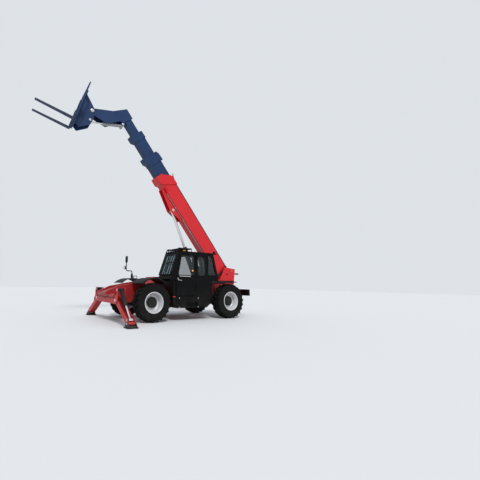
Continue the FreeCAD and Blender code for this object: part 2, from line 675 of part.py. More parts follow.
def make_tower():
    """The rear tower: two plates lapped on the frame that hold the boom's pivot pin."""
    outline = [
        ("-pivot_back + tower_ahead", "pivot_height + tower_top"),
        ("-pivot_back - tower_back", "pivot_height + tower_top * 0.5"),
        ("-pivot_back - tower_foot_back", "frame_top - tower_lap"),
        ("comp_eye * 1.8 - comp_foot", "frame_top - tower_lap"),
        ("comp_eye * 1.8 - comp_foot", "comp_height + comp_eye * 1.8"),
        ("-pivot_back + tower_foot_ahead", "frame_top + tower_step"),
    ]
    near = "frame_side"
    far = "frame_side + tower_plate"
    left = padded("TowerPlate", "side", outline, near, far)
    right = mirrored("TowerPlateRight", left)
    pins = []
    for side in ("", "-"):
        cap = "frame_side + tower_plate * 1.6"
        ends = (near, cap) if side == "" else (f"-({cap})", f"-({near})")
        pins.append(bar("PivotCap", "y", ("-pivot_back", "0", "pivot_height"), ends[0], ends[1], "boss_radius * 0.8"))
    comp = "comp_side + comp_barrel + move_gap"
    foot = bar("CompWasher", "y", ("-comp_foot", "0", "comp_height"), comp, near, "comp_eye * 1.4")
    cheeks = joined("TowerLeft", left, foot, pins[0]), joined("TowerRight", right, pins[1])
    return on_machine("rear_tower", gathered("RearTower", *cheeks))


def boom_tube(name, tail, front, chin, top, bottom, half):
    """A square tube with a slanted front end, drawn from the boom's pivot."""
    outer = [(tail, top), (front, top), (f"{front} + {chin}", bottom), (tail, bottom)]
    body = padded(name, "side", outer, f"-({half})", half)
    low = f"({bottom}) + boom_wall"
    high = f"({top}) - boom_wall"
    room = f"({half}) - boom_wall"
    past = f"{front} + {chin} + boom_wall"
    hollow = [(tail, high), (past, high), (past, low), (tail, low)]
    add_pocket(body, "side", hollow, f"-({room})", room)
    return body


def slide_pads(front, top, bottom, half, next_top):
    """Slide pads at a section's mouth: below, above and beside the next section."""
    start = f"{front} - pad_inset - pad_length"
    end = f"{front} - pad_inset"
    low = f"({bottom}) + boom_wall"
    high = f"({top}) - boom_wall"
    room = f"({half}) - boom_wall"
    thick = "slide_gap - seat_gap"
    pads = [
        block("PadUnder", (start, end), (f"-({room}) + pad_margin", f"{room} - pad_margin"),
              (low, f"{low} + {thick}")),
        block("PadOver", (start, end), (f"-({room}) + pad_margin", f"{room} - pad_margin"),
              (f"{next_top} + seat_gap", high)),
    ]
    for sides in ((f"-({room})", f"-({room}) + {thick}"), (f"{room} - ({thick})", room)):
        pads.append(block("PadBeside", (start, end), sides, (f"{low} + pad_margin", f"{next_top} - pad_margin")))
    return pads


OUTER_END = "outer_length"
OUTER_BOTTOM = "-outer_top - outer_depth"
SECOND_END = "outer_length + outer_chin + second_out"
THIRD_END = f"{SECOND_END} + third_out"
FOURTH_END = f"{THIRD_END} + fourth_out"


def make_boom():
    """The four boom sections, each inside the one before it."""
    make_outer_section()
    # Columns: label, front end, length, top, steps in from the outer section, next top,
    # collar's length, bump above, tab below.
    table = [
        ("boom_section_second", SECOND_END, "second_length", "-second_top", 1, "-third_top",
         "second_ring", "second_bump", "second_tab"),
        ("boom_section_third", THIRD_END, "third_length", "-third_top", 2, "-fourth_top",
         "third_ring", "third_bump", "third_tab"),
        ("boom_section_fourth", FOURTH_END, "fourth_length", "-fourth_top", 3, None, None, None, None),
    ]
    for label, front, length, top, step, next_top, ring, bump, tab in table:
        bottom = f"{OUTER_BOTTOM} + {step} * (boom_wall + slide_gap)"
        half = f"outer_half - {step} * (boom_wall + slide_gap)"
        tube = boom_tube(f"Tube_{step}", f"{front} - {length}", front, "0", top, bottom, half)
        if next_top is None:
            on_boom(label, tube)
            continue
        collar = make_collar(step, front, top, bottom, half, ring, bump, tab)
        pads = slide_pads(front, top, bottom, half, next_top)
        on_boom(label, joined(f"Section_{step}", tube, collar, *pads))


def make_collar(step, front, top, bottom, half, ring, bump, tab):
    """The collar round a section's mouth: higher at its back on top, with a tab below."""
    outline = [
        (f"{front} - {ring}", f"{top} + {bump}"),
        (f"{front} - {ring} * 0.3", f"{top} + {bump} * 0.8"),
        (front, f"{top} + boom_wall * 0.5"),
        (front, f"{bottom} - {tab}"),
        (f"{front} - tab_length", f"{bottom} - {tab}"),
        (f"{front} - tab_length - {tab}", f"{bottom} - boom_wall"),
        (f"{front} - {ring}", f"{bottom} - boom_wall"),
    ]
    wide = f"{half} + collar_side - boom_wall * 0.5"
    shell = padded(f"Collar_{step}", "side", outline, f"-({wide})", wide)
    room = f"({half}) - boom_wall"
    past = "boom_wall"
    hollow = [
        (f"{front} - {ring} - {past}", f"{top} - boom_wall"),
        (f"{front} + {past}", f"{top} - boom_wall"),
        (f"{front} + {past}", f"{bottom} + boom_wall"),
        (f"{front} - {ring} - {past}", f"{bottom} + boom_wall"),
    ]
    add_pocket(shell, "side", hollow, f"-({room})", room)
    return shell


def make_outer_section():
    """The outer section: tube, collar, pivot bosses, slide pads and the lift bracket."""
    top = "-outer_top"
    tube = boom_tube("OuterTube", "-outer_tail", OUTER_END, "outer_chin", top, OUTER_BOTTOM, "outer_half")
    wide = "outer_half + collar_side"
    collar_top = f"{top} + collar_rise"
    collar_low = f"{OUTER_BOTTOM} - collar_drop"
    collar = padded("OuterCollar", "side", [
        (f"{OUTER_END} - collar_length", collar_top),
        (OUTER_END, collar_top),
        (f"{OUTER_END} + outer_chin", "-outer_depth * 0.7"),
        (f"{OUTER_END} + outer_chin - collar_rise", collar_low),
        (OUTER_END, collar_low),
        (f"{OUTER_END} - collar_drop", OUTER_BOTTOM),
    ], f"-({wide})", wide)
    room = "outer_half - boom_wall"
    past = f"{OUTER_END} + outer_chin + boom_wall"
    rear = f"{OUTER_END} - collar_length - boom_wall"
    add_pocket(collar, "side", [
        (rear, f"{top} - boom_wall"),
        (past, f"{top} - boom_wall"),
        (past, f"{OUTER_BOTTOM} + boom_wall"),
        (rear, f"{OUTER_BOTTOM} + boom_wall"),
    ], f"-({room})", room)
    bosses = [
        bar("BossLeft", "y", ("0", "0", "0"), "outer_half - boom_wall", "frame_side - seat_gap", "boss_radius"),
        bar("BossRight", "y", ("0", "0", "0"), "seat_gap - frame_side", "boom_wall - outer_half", "boss_radius"),
    ]
    pads = slide_pads(OUTER_END, top, OUTER_BOTTOM, "outer_half", "-second_top")
    bracket = make_lift_bracket()
    ear_in = "comp_side - comp_eye * 0.7"
    ear = bar("CompBoss", "y", ("comp_along", "0", "-comp_under"), "outer_half - boom_wall",
              f"{ear_in} - seat_gap", "comp_eye")
    on_boom("boom_outer", joined("BoomOuter", tube, collar, ear, *bosses, *pads, *bracket))


def make_lift_bracket():
    """Two plates under the outer section with bosses inside them for the lift cylinder's eye."""
    overlap = "boom_wall / 2"
    outline = [
        ("eye_along - bracket_back", f"{OUTER_BOTTOM} + {overlap}"),
        ("eye_along - bracket_back", f"{OUTER_BOTTOM} - bracket_rim"),
        ("eye_along + bracket_rim * 0.4", f"{OUTER_BOTTOM} - bracket_deep"),
        ("eye_along + bracket_front", f"{OUTER_BOTTOM} - bracket_rim"),
        ("eye_along + bracket_front", f"{OUTER_BOTTOM} + {overlap}"),
    ]
    left = padded("Bracket", "side", outline, "foot_ear", "bracket_half")
    return [left, mirrored("BracketRight", left)]


def cylinder_axis(name, foot, eye):
    """Formulas for a cylinder's length and its angle, from foot pin to rod pin, in one plane."""
    run = f"(({eye[0]}) - ({foot[0]}))"
    rise = f"(({eye[1]}) - ({foot[1]}))"
    length = f"sqrt({run} * {run} + {rise} * {rise})"
    angle = f"atan2({rise}; {run})"
    return length, angle


def make_barrel(name, reach, radius, eye, half, gap):
    """A cylinder's barrel along X from its foot eye, open at its far end for the rod."""
    bore = f"{gap}"
    tube = bar(f"{name}Tube", "x", ("0", "0", "0"), f"{eye} * 0.6", reach, radius)
    ring = bar(f"{name}Eye", "y", ("0", "0", "0"), f"-({half})", half, eye)
    hollow = bar(f"{name}Bore", "x", ("0", "0", "0"), f"{eye} * 1.2", f"{reach} + {radius}", bore)
    return without(f"{name}Barrel", joined(f"{name}Body", tube, ring), hollow)


def make_rod(name, inner, length, radius, eye, half):
    """A cylinder's rod along X, from its inner end to the eye at its outer end."""
    shaft = bar(f"{name}Shaft", "x", ("0", "0", "0"), inner, f"{length} - {eye} * 0.6", radius)
    ring = bar(f"{name}Ring", "y", (length, "0", "0"), f"-({half})", half, eye)
    return joined(f"{name}Rod", shaft, ring)


def make_lift_cylinder():
    """The lift cylinder between the frame's ears and the bracket under the boom."""
    eye_x, eye_z = boom_point("eye_along", f"{OUTER_BOTTOM} - eye_under")
    foot = ("foot_ahead - axle_back", "foot_height")
    length, angle = cylinder_axis("Lift", foot, (eye_x, eye_z))
    half = "foot_ear - seat_gap"
    barrel = make_barrel("Lift", "lift_reach", "lift_barrel", "lift_eye", half, "lift_rod + seat_gap")
    rod = make_rod("LiftRod", "lift_inside + lift_stroke", length, "lift_rod", "lift_eye", half)
    for label, piece in (("lift_barrel", barrel), ("lift_rod", rod)):
        set_at(piece, foot[0], foot[1], angle)
        named(label, piece)


def make_compensation_cylinder():
    """The small levelling cylinder between the tower and the boom's root, on the left."""
    eye_x, eye_z = boom_point("comp_along", "-comp_under")
    foot = ("-comp_foot - axle_back", "comp_height")
    length, angle = cylinder_axis("Comp", foot, (eye_x, eye_z))
    half = "comp_eye * 0.7"
    barrel = make_barrel("Comp", "comp_reach", "comp_barrel", "comp_eye", "comp_barrel + move_gap - seat_gap",
                         "comp_rod + seat_gap")
    rod = make_rod("CompRod", "comp_reach * 0.55", length, "comp_rod", "comp_eye", half)
    for label, piece in (("compensation_barrel", barrel), ("compensation_rod", rod)):
        set_at(piece, foot[0], foot[1], angle, "comp_side")
        named(label, piece)


HEAD_TOP = "-fourth_top"
TILT_X = f"({FOURTH_END} + tilt_along)"
TILT_Z = "(-fourth_top - tilt_under)"


def make_head():
    """The boom's head: two cheeks bent down to the tilt pin, with a cap plate over them."""
    end = FOURTH_END
    outline = [
        (f"{end} - head_back", f"{HEAD_TOP} + head_crest"),
        (f"{end} + head_front", f"{HEAD_TOP} + head_crest"),
        (f"{TILT_X} - head_knee_back", f"{TILT_Z} + head_knee"),
        (f"{TILT_X} + tilt_round * 0.4", f"{TILT_Z} + tilt_round * 1.5"),
        (f"{TILT_X} + tilt_round * 0.6", f"{TILT_Z} - tilt_round * 0.7"),
        (f"{TILT_X} - tilt_round", f"{TILT_Z} - tilt_round * 0.7"),
        (f"{TILT_X} - head_heel_back", f"{TILT_Z} + head_heel"),
        (f"{end} + head_throat * 0.2", f"{HEAD_TOP} - tilt_foot_under"),
        (f"{end} - tilt_foot_back - tilt_eye", f"{HEAD_TOP} - tilt_foot_under - tilt_eye"),
        (f"{end} - tilt_foot_back - tilt_eye", f"{HEAD_TOP} - tilt_foot_under + tilt_eye"),
        (f"{end} - head_back", f"{HEAD_TOP} - tilt_foot_under * 0.7"),
    ]
    left = padded("HeadCheek", "side", outline, "head_half + seat_gap", "head_half + seat_gap + head_cheek")
    right = mirrored("HeadCheekRight", left)
    cap = padded("HeadCap", "side", [
        (f"{end} + seat_gap", f"{HEAD_TOP} + head_crest"),
        (f"{end} + head_front", f"{HEAD_TOP} + head_crest"),
        (f"{TILT_X} - head_knee_back", f"{TILT_Z} + head_knee"),
        (f"{TILT_X} + tilt_round * 0.4", f"{TILT_Z} + tilt_round * 1.5"),
        (f"{TILT_X} - head_cheek", f"{TILT_Z} + tilt_round * 1.5"),
        (f"{TILT_X} - head_knee_back - head_cheek", f"{TILT_Z} + head_knee"),
        (f"{end} + head_front - head_cheek", f"{HEAD_TOP} + head_crest - head_cheek"),
        (f"{end} + seat_gap", f"{HEAD_TOP} + head_crest - head_cheek"),
    ], "-head_half - seat_gap", "head_half + seat_gap")
    boss = "head_half + head_cheek * 0.5"
    pin = bar("TiltPin", "y", (TILT_X, "0", TILT_Z), f"-({boss})", boss, "pin_radius * 1.5")
    on_boom("boom_head", joined("BoomHead", left, right, cap, pin))


def make_tilt_cylinder():
    """The tilt cylinder between the head's cheeks and the coupler's lower pin."""
    foot_along = f"({FOURTH_END}) - tilt_foot_back"
    foot_up = f"{HEAD_TOP} - tilt_foot_under"
    foot = boom_point(foot_along, foot_up)
    pin = boom_point(TILT_X, TILT_Z)
    eye_x = f"{pin[0]} - link_back * cos(fork_angle * 1 deg) + link_under * sin(fork_angle * 1 deg)"
    eye_z = f"{pin[1]} - link_back * sin(fork_angle * 1 deg) - link_under * cos(fork_angle * 1 deg)"
    length, angle = cylinder_axis("Tilt", foot, (eye_x, eye_z))
    half = "head_half - seat_gap"
    barrel = make_barrel("Tilt", "tilt_reach", "tilt_barrel", "tilt_eye", half, "tilt_rod + seat_gap")
    rod = make_rod("TiltRod", "tilt_reach * 0.62", length, "tilt_rod", "tilt_eye", "lug_half - seat_gap")
    for label, piece in (("tilt_barrel", barrel), ("tilt_rod", rod)):
        set_at(piece, foot[0], foot[1], angle)
        named(label, piece)


def set_on_carriage(label, piece):
    """Name a piece drawn from the tilt pin, and set it on the boom's head."""
    x, z = boom_point(TILT_X, TILT_Z)
    set_at(piece, x, z, "fork_angle")
    return named(label, piece)


def make_carriage():
    """The coupler on the tilt pin, the fork carriage with its load guard, and the forks."""
    head_side = "head_half + head_cheek + seat_gap * 2"
    inner = f"{head_side} + move_gap"
    outer = f"{inner} + coupler_plate"
    face = "coupler_ahead"
    cheek = padded("CouplerCheek", "side", [
        ("-tilt_round * 0.7", "tilt_round * 0.8"),
        ("tilt_round", "tilt_round * 2.4"),
        (f"{face} - plate", "coupler_rise"),
        (face, "coupler_rise"),
        (face, "-coupler_drop"),
        ("coupler_ahead * 0.55", "-coupler_drop - carriage_bar"),
        ("-link_back - tilt_round * 0.7", "-link_under - tilt_round * 1.5"),
        ("-link_back - tilt_round", "-link_under + tilt_round"),
        ("-tilt_round * 0.7", "-tilt_round * 0.8"),
    ], inner, outer)
    right = mirrored("CouplerCheekRight", cheek)
    web = block("CouplerWeb", (f"{face} - plate", face), (f"-({outer})", outer), ("-coupler_drop", "coupler_rise"))
    boss = bar("CouplerBoss", "y", ("0", "0", "0"), head_side, inner, "tilt_round * 0.6")
    lug = padded("TiltLug", "side", [
        ("-link_back - tilt_eye * 1.2", "-link_under - tilt_eye * 1.2"),
        (f"{face} - plate / 2", "-link_under - tilt_eye * 1.2"),
        (f"{face} - plate / 2", "-link_under + tilt_eye * 1.2"),
        ("-link_back - tilt_eye * 1.2", "-link_under + tilt_eye * 1.2"),
    ], "lug_half", "lug_half + coupler_plate")
    pieces = [cheek, right, web, boss, mirrored("CouplerBossRight", boss), lug, mirrored("TiltLugRight", lug)]
    for low, high in (("coupler_rise - carriage_bar", "coupler_rise"), ("-coupler_drop", "carriage_bar - coupler_drop")):
        pieces.append(block("CouplerBar", (f"{face} - plate * 1.5", face), ("-carriage_half * 0.7", "carriage_half * 0.7"),
                            (low, high)))
    set_on_carriage("carriage_coupler", joined("CarriageCoupler", *pieces))
    make_fork_frame(face)
    make_forks(face)


def make_fork_frame(face):
    """The fork carriage: two heavy bars and the load guard above them."""
    near = f"{face} + seat_gap"
    far = f"{near} + carriage_plate"
    wide = ("-carriage_half", "carriage_half")
    bars = [
        block("UpperBar", (near, far), wide, ("-carriage_top - carriage_bar", "-carriage_top")),
        block("LowerBar", (near, far), wide, ("-coupler_drop + fork_thick", "-coupler_drop + fork_thick + carriage_bar")),
        block("TopRail", (near, far), wide, ("guard_top - guard_bar", "guard_top")),
    ]
    for index in range(5):
        middle = f"(-carriage_half + guard_bar / 2 + {index} * (carriage_half * 2 - guard_bar) / 4)"
        bars.append(block("GuardPost", (near, far), (f"{middle} - guard_bar / 2", f"{middle} + guard_bar / 2"),
                          ("-coupler_drop + fork_thick", "guard_top")))
    set_on_carriage("fork_frame", joined("ForkFrame", *bars))


def make_forks(face):
    """Two forks: shank hooked on the upper bar and a blade that thins to its tip."""
    back = f"({face} + seat_gap * 2 + carriage_plate)"
    front = f"({back} + fork_thick)"
    tip = f"({front} + fork_length)"
    sole = "-coupler_drop - fork_thick"
    outline = [
        (back, "-carriage_top + fork_thick"),
        (back, sole),
        (f"{tip}", sole),
        (f"{tip}", f"{sole} + fork_tip"),
        (front, f"{sole} + fork_thick"),
        (front, "-carriage_top + fork_thick"),
    ]
    left = padded("Fork", "side", outline, "fork_side - fork_width / 2", "fork_side + fork_width / 2")
    set_on_carriage("forks", gathered("Forks", left, mirrored("ForkRight", left)))


def make_nose():
    """The nose: two cheeks in front of the front axle with a plate between them."""
    rear = "wheel_base - nose_start"
    bend = "wheel_base + nose_bend"
    front = "wheel_base + nose_front"
    cheek = padded("NoseCheek", "side", [
        (rear, "nose_high"),
        (rear, "frame_top - plate"),
        ("wheel_base + arch_half", "frame_arch + plate * 2"),
        ("wheel_base + arch_half + arch_run", "nose_sill"),
        (FRAME_FRONT, "nose_sill"),
        (FRAME_FRONT, "beam_high + seat_gap"),
        (front, "beam_high + seat_gap"),
        (front, "nose_low"),
        (bend, "nose_mid"),
    ], "frame_side + seat_gap", "nose_half")
    right = mirrored("NoseCheekRight", cheek)
    floor = padded("NoseFloor", "side", [
        ("wheel_base + arch_half + arch_run * 0.8", "nose_floor - plate"),
        ("wheel_base + arch_half + arch_run * 0.8", "nose_floor"),
        (bend, "nose_floor - plate"),
        (front, "nose_low - plate"),
        (front, "beam_high + seat_gap"),
        (f"{front} - plate", "beam_high + seat_gap"),
        (f"{front} - plate", "nose_low - plate * 2"),
        (bend, "nose_floor - plate * 2"),
    ], "plate + seat_gap - frame_side", "frame_side - plate - seat_gap")
    face = block("NoseFace", (f"{front} - plate", front), ("-nose_half", "nose_half"),
                 ("beam_high + seat_gap", "nose_low - plate"))
    return on_machine("front_nose", joined("FrontNose", cheek, right, floor, face))


def make_stabilisers():
    """The stabiliser beam, and on each side a leg with its pad and its cylinder."""
    middle = "wheel_base + beam_ahead"
    make_beam(middle)
    for side in ("left", "right"):
        make_leg(side, middle)


def make_beam(middle):
    """The stabiliser beam: front and rear plates with raised ends, top and bottom plates."""
    ear = "ram_eye * 1.3"
    half = [
        ("-beam_half * 0.6", "beam_low"),
        ("beam_half * 0.6", "beam_low"),
        ("beam_half", "beam_low"),
        (f"ram_side + {ear}", "ram_high - ram_eye"),
        (f"ram_side + {ear}", f"ram_high + {ear}"),
        (f"ram_side - {ear}", f"ram_high + {ear}"),
        ("leg_hinge_side - ram_eye * 2", "beam_high"),
        ("-beam_half * 0.6", "beam_high"),
    ]
    plates = []
    for start, end in ((f"{middle} - beam_slot - beam_plate", f"{middle} - beam_slot"),
                       (f"{middle} + beam_slot", f"{middle} + beam_slot + beam_plate")):
        left = padded("BeamPlate", "front", half, start, end)
        plates += [left, mirrored("BeamPlateRight", left)]
    reach = "leg_hinge_side - leg_deep * 3"
    for low, high in (("beam_low", "beam_low + beam_plate"), ("beam_high - beam_plate", "beam_high")):
        plates.append(block("BeamFlange", (f"{middle} - beam_slot", f"{middle} + beam_slot"),
                            (f"-({reach})", reach), (low, high)))
    return on_machine("stabiliser_beam", joined("StabiliserBeam", *plates))


def make_leg(side, middle):
    """One leg, drawn on the left and mirrored for the right: channel, pad and cylinder."""
    hinge = ("leg_hinge_side", "leg_hinge_high")
    foot = ("ram_foot_side", "ram_foot_high")
    top = ("ram_side", "ram_high")
    left = "leg_half"
    slope = "(leg_hinge_high - ram_foot_high) / (ram_foot_side - leg_hinge_side)"
    root = "leg_hinge_side - leg_deep"
    toe = "ram_foot_side + leg_deep"
    fall = f"({toe} - ({root})) * {slope}"
    crown = f"leg_hinge_high + leg_deep * (1 + {slope})"
    outline = [
        (root, f"{crown}"),
        (root, f"{crown} - leg_deep * 2.2"),
        (toe, f"{crown} - leg_deep * 2.2 - {fall}"),
        (toe, f"{crown} - {fall}"),
    ]
    channel = padded(f"Leg_{side}", "front", outline, f"{middle} - {left}", f"{middle} + {left}")
    floor = "leg_deep * 2.2 - leg_plate * 1.5"
    past = "leg_deep"
    add_pocket(channel, "front", [
        (f"{root} - {past}", f"{crown} + {past} * {slope} + {past}"),
        (f"{root} - {past}", f"{crown} + {past} * {slope} - {floor}"),
        (f"{toe} + {past}", f"{crown} - {fall} - {past} * {slope} - {floor}"),
        (f"{toe} + {past}", f"{crown} - {fall} - {past} * {slope} + {past}"),
    ], f"{middle} - {left} + leg_plate", f"{middle} + {left} - leg_plate")
    pin = bar("LegPin", "x", ("0", hinge[0], hinge[1]), f"{middle} - beam_slot + pin_gap",
              f"{middle} + beam_slot - pin_gap", "pin_radius")
    toe_bar = bar("LegToe", "x", ("0", "foot_side", "pad_lug_high"), f"{middle} - {left}", f"{middle} + {left}", "pad_lug")
    socket = block("PadSeat", (f"{middle} - {left}", f"{middle} + {left}"), ("foot_side - pad_lug", "foot_side + pad_lug"),
                   ("pad_thick * 0.5", "pad_lug_high - pad_lug - seat_gap"))
    place_leg("stabiliser_leg", side, joined(f"LegBody_{side}", channel, pin, toe_bar))
    pad = block("PadPlate", (f"{middle} - pad_size / 2", f"{middle} + pad_size / 2"),
                ("foot_side - pad_size / 2", "foot_side + pad_size / 2"), ("0", "pad_thick"))
    place_leg("stabiliser_pad", side, joined(f"Pad_{side}", pad, socket))
    length, angle = cylinder_axis("Ram", top, foot)
    half = "beam_slot - seat_gap"
    barrel = make_barrel(f"Ram_{side}", "ram_reach", "ram_barrel", "ram_eye", half, "ram_rod + seat_gap")
    rod = make_rod(f"RamRod_{side}", "ram_reach * 0.78", length, "ram_rod", "ram_eye",
                   "leg_half - leg_plate - seat_gap")
    for label, piece in (("stabiliser_barrel", barrel), ("stabiliser_rod", rod)):
        place_leg(label, side, lie_across(piece, middle, top, angle))


def lie_across(piece, middle, top, angle):
    """Turn a cylinder drawn along X so that it lies across the machine from its upper pin."""
    piece.Placement = FreeCAD.Placement(FreeCAD.Vector(), FreeCAD.Rotation(UP, 90))
    sloped = gathered(f"{piece.Name}Sloped", piece)
    sloped.Placement = FreeCAD.Placement(FreeCAD.Vector(), FreeCAD.Rotation(FreeCAD.Vector(1, 0, 0), 10))
    bind(sloped, "Placement.Rotation.Angle", angle)
    move_to(sloped, middle, *top)
    return gathered(f"{piece.Name}Set", sloped)


def place_leg(label, side, piece):
    """Name a leg's piece on its side; the right one is the left one mirrored."""
    whole = mirrored(f"{piece.Name}Mirror", piece) if side == "right" else piece
    return on_machine(f"{label}_{side}", whole)


def cab_outline(inset):
    """The cab's side outline, drawn in from its skin by an inset."""
    return [
        (f"cab_rear + {inset}", f"cab_sill + {inset}"),
        (f"cab_knee - {inset}", f"cab_sill + {inset}"),
        (f"cab_knee - {inset}", f"cab_knee_high + {inset}"),
        (f"cab_prow - {inset}", f"cab_knee_high + {inset}"),
        (f"cab_prow - {inset}", f"cab_waist - {inset} * 0.4"),
        (f"cab_brow - {inset}", f"cab_roof - {inset}"),
        (f"cab_nape + {inset}", f"cab_roof - {inset}"),
        (f"cab_hip + {inset}", f"cab_waist - {inset} * 0.4"),
        (f"cab_hip + {inset}", f"cab_hip_high + {inset}"),
        (f"cab_rear + {inset}", f"cab_hip_high + {inset}"),
    ]


def screen_slope(height):
    """X of the windscreen's outside at a height above the waist line."""
    return f"(cab_prow - (cab_prow - cab_brow) * ({height} - cab_waist) / (cab_roof - cab_waist))"


def nape_slope(height):
    """X of the rear window's outside at a height above the waist line."""
    return f"(cab_hip + (cab_nape - cab_hip) * ({height} - cab_waist) / (cab_roof - cab_waist))"


def door_outline(grow):
    """The door's outline on the cab's left side, larger by grow on every side."""
    return [
        (f"post_ahead - {grow}", f"door_low - {grow}"),
        (f"cab_knee - cab_wall + {grow}", f"door_low - {grow}"),
        (f"cab_knee - cab_wall + {grow}", "door_belt"),
        (f"{screen_slope('door_high')} - pillar + {grow}", f"door_high + {grow}"),
        (f"post_ahead - {grow}", f"door_high + {grow}"),
    ]


def make_cab():
    """The cab: hollow shell with its windows and doorway cut, glass, door and guards."""
    inside = ("cab_inside + cab_wall", "cab_outside - cab_wall")
    shell = padded("CabShell", "side", cab_outline("0"), "cab_inside", "cab_outside")
    add_pocket(shell, "side", cab_outline("cab_wall"), *inside)
    past = "cab_wall"
    add_pocket(shell, "side", door_outline("move_gap"), "cab_outside - cab_wall * 2", f"cab_outside + {past}")
    inner_side = (f"cab_inside - {past}", "cab_inside + cab_wall * 2")
    outer_side = ("cab_outside - cab_wall * 2", f"cab_outside + {past}")
    add_pocket(shell, "side", side_window("post_ahead + pillar / 2"), *inner_side)
    add_pocket(shell, "side", quarter_window(), *inner_side)
    add_pocket(shell, "side", quarter_window(), *outer_side)
    start, end = "cab_inside + pillar", "cab_outside - pillar"
    add_pocket(shell, "front", [(start, "cab_waist + pillar * 0.5"), (end, "cab_waist + pillar * 0.5"),
                                (end, "cab_eave"), (start, "cab_eave")],
               f"{screen_slope('cab_eave')} - cab_wall * 2", f"cab_prow + {past}")
    add_pocket(shell, "front", [(start, "cab_waist + pillar"), (end, "cab_waist + pillar"),
                                (end, "cab_eave"), (start, "cab_eave")],
               f"cab_hip - {past}", f"{nape_slope('cab_eave')} + cab_wall * 2")
    add_pocket(shell, "plan", [("cab_nape + pillar * 3", start), ("cab_brow - pillar * 2", start),
                               ("cab_brow - pillar * 2", end), ("cab_nape + pillar * 3", end)],
               "cab_roof - cab_wall * 2", f"cab_roof + {past}")
    on_machine("cab_shell", joined("CabBody", shell, *door_hinge_parts("hinge_tall + seat_gap", "-1")))
    make_cab_glass()
    make_door()
    make_guards()


def side_window(rear):
    """The window of the cab's inner side, from a post to the windscreen's pillar."""
    return [
        (rear, "cab_waist + pillar"),
        (f"{screen_slope('cab_waist + pillar')} - pillar * 2", "cab_waist + pillar"),
        (f"{screen_slope('cab_eave')} - pillar * 1.5", "cab_eave"),
        (rear, "cab_eave"),
    ]


def quarter_window():
    """The window between the door post and the cab's rear edge."""
    return [
        (f"{nape_slope('cab_waist + pillar')} + pillar * 1.4", "cab_waist + pillar"),
        ("post_ahead - pillar * 1.2", "cab_waist + pillar"),
        ("post_ahead - pillar * 1.2", "cab_eave"),
        (f"{nape_slope('cab_eave')} + pillar * 1.4", "cab_eave"),
    ]


def make_cab_glass():
    """Panes in the middle of the cab's walls: two sides, screen, rear and roof."""
    middle = "(cab_wall - glass) / 2"
    panes = []
    for corners, near in ((side_window("post_ahead + pillar / 2"), "cab_inside + " + middle),
                          (quarter_window(), "cab_inside + " + middle),
                          (quarter_window(), "cab_outside - cab_wall + " + middle)):
        panes.append(padded("Pane", "side", corners, near, f"{near} + glass"))
    low, high = "cab_waist + pillar * 0.5", "cab_eave"
    for slope, low, inward in ((screen_slope, "cab_waist + pillar * 0.5", "-1"), (nape_slope, "cab_waist + pillar", "1")):
        near, far = f"{inward} * cab_wall * 0.4", f"{inward} * (cab_wall * 0.4 + glass)"
        corners = [(f"{slope(low)} + {near}", low), (f"{slope(high)} + {near}", high),
                   (f"{slope(high)} + {far}", high), (f"{slope(low)} + {far}", low)]
        panes.append(padded("Screen", "side", corners, "cab_inside + pillar", "cab_outside - pillar"))
    panes.append(block("RoofPane", ("cab_nape + pillar * 3", "cab_brow - pillar * 2"),
                       ("cab_inside + pillar", "cab_outside - pillar"),
                       ("cab_roof - cab_wall * 0.6", "cab_roof - cab_wall * 0.6 + glass")))
    on_machine("cab_glass", gathered("CabGlass", *panes))


def door_window():
    """The door's window, inside its frame."""
    return [
        ("post_ahead + door_frame", "door_belt + door_frame"),
        ("cab_knee - cab_wall - door_frame", "door_belt + door_frame"),
        (f"{screen_slope('door_high')} - pillar - door_frame * 1.2", "door_high - door_frame"),
        ("post_ahead + door_frame", "door_high - door_frame"),
    ]


def make_door():
    """The door with its window and the two halves of each hinge, on its rear edge."""
    near, far = "cab_outside - cab_wall", "cab_outside"
    door = padded("DoorPanel", "side", door_outline("0"), near, far)
    add_pocket(door, "side", door_window(), f"{near} - cab_wall", f"{far} + cab_wall")
    middle = "cab_outside - (cab_wall + glass) / 2"
    pane = padded("DoorPane", "side", door_window(), middle, f"{middle} + glass")
    on_machine("door_panel", joined("Door", door, *door_hinge_parts("0", "1")))
    on_machine("door_glass", pane)


def door_hinge_parts(lift, side):
    """Hinge barrels with their leaves: the door's when side is 1, the post's when it is -1."""
    line_x = "(post_ahead - move_gap / 2)"
    line = (line_x, "cab_outside + hinge_proud", "0")
    reach = (line_x, f"{line_x} + door_frame") if side == "1" else (f"{line_x} - door_frame", line_x)
    parts = []
    for base in ("door_low + hinge_tall", "door_high - hinge_tall * 3"):
        low = f"{base} + {lift}"
        parts.append(bar("Hinge", "z", line, low, f"{low} + hinge_tall", "hinge_radius"))
        parts.append(block("HingeLeaf", reach, ("cab_outside", "cab_outside + hinge_proud"), (low, f"{low} + hinge_tall")))
    return parts


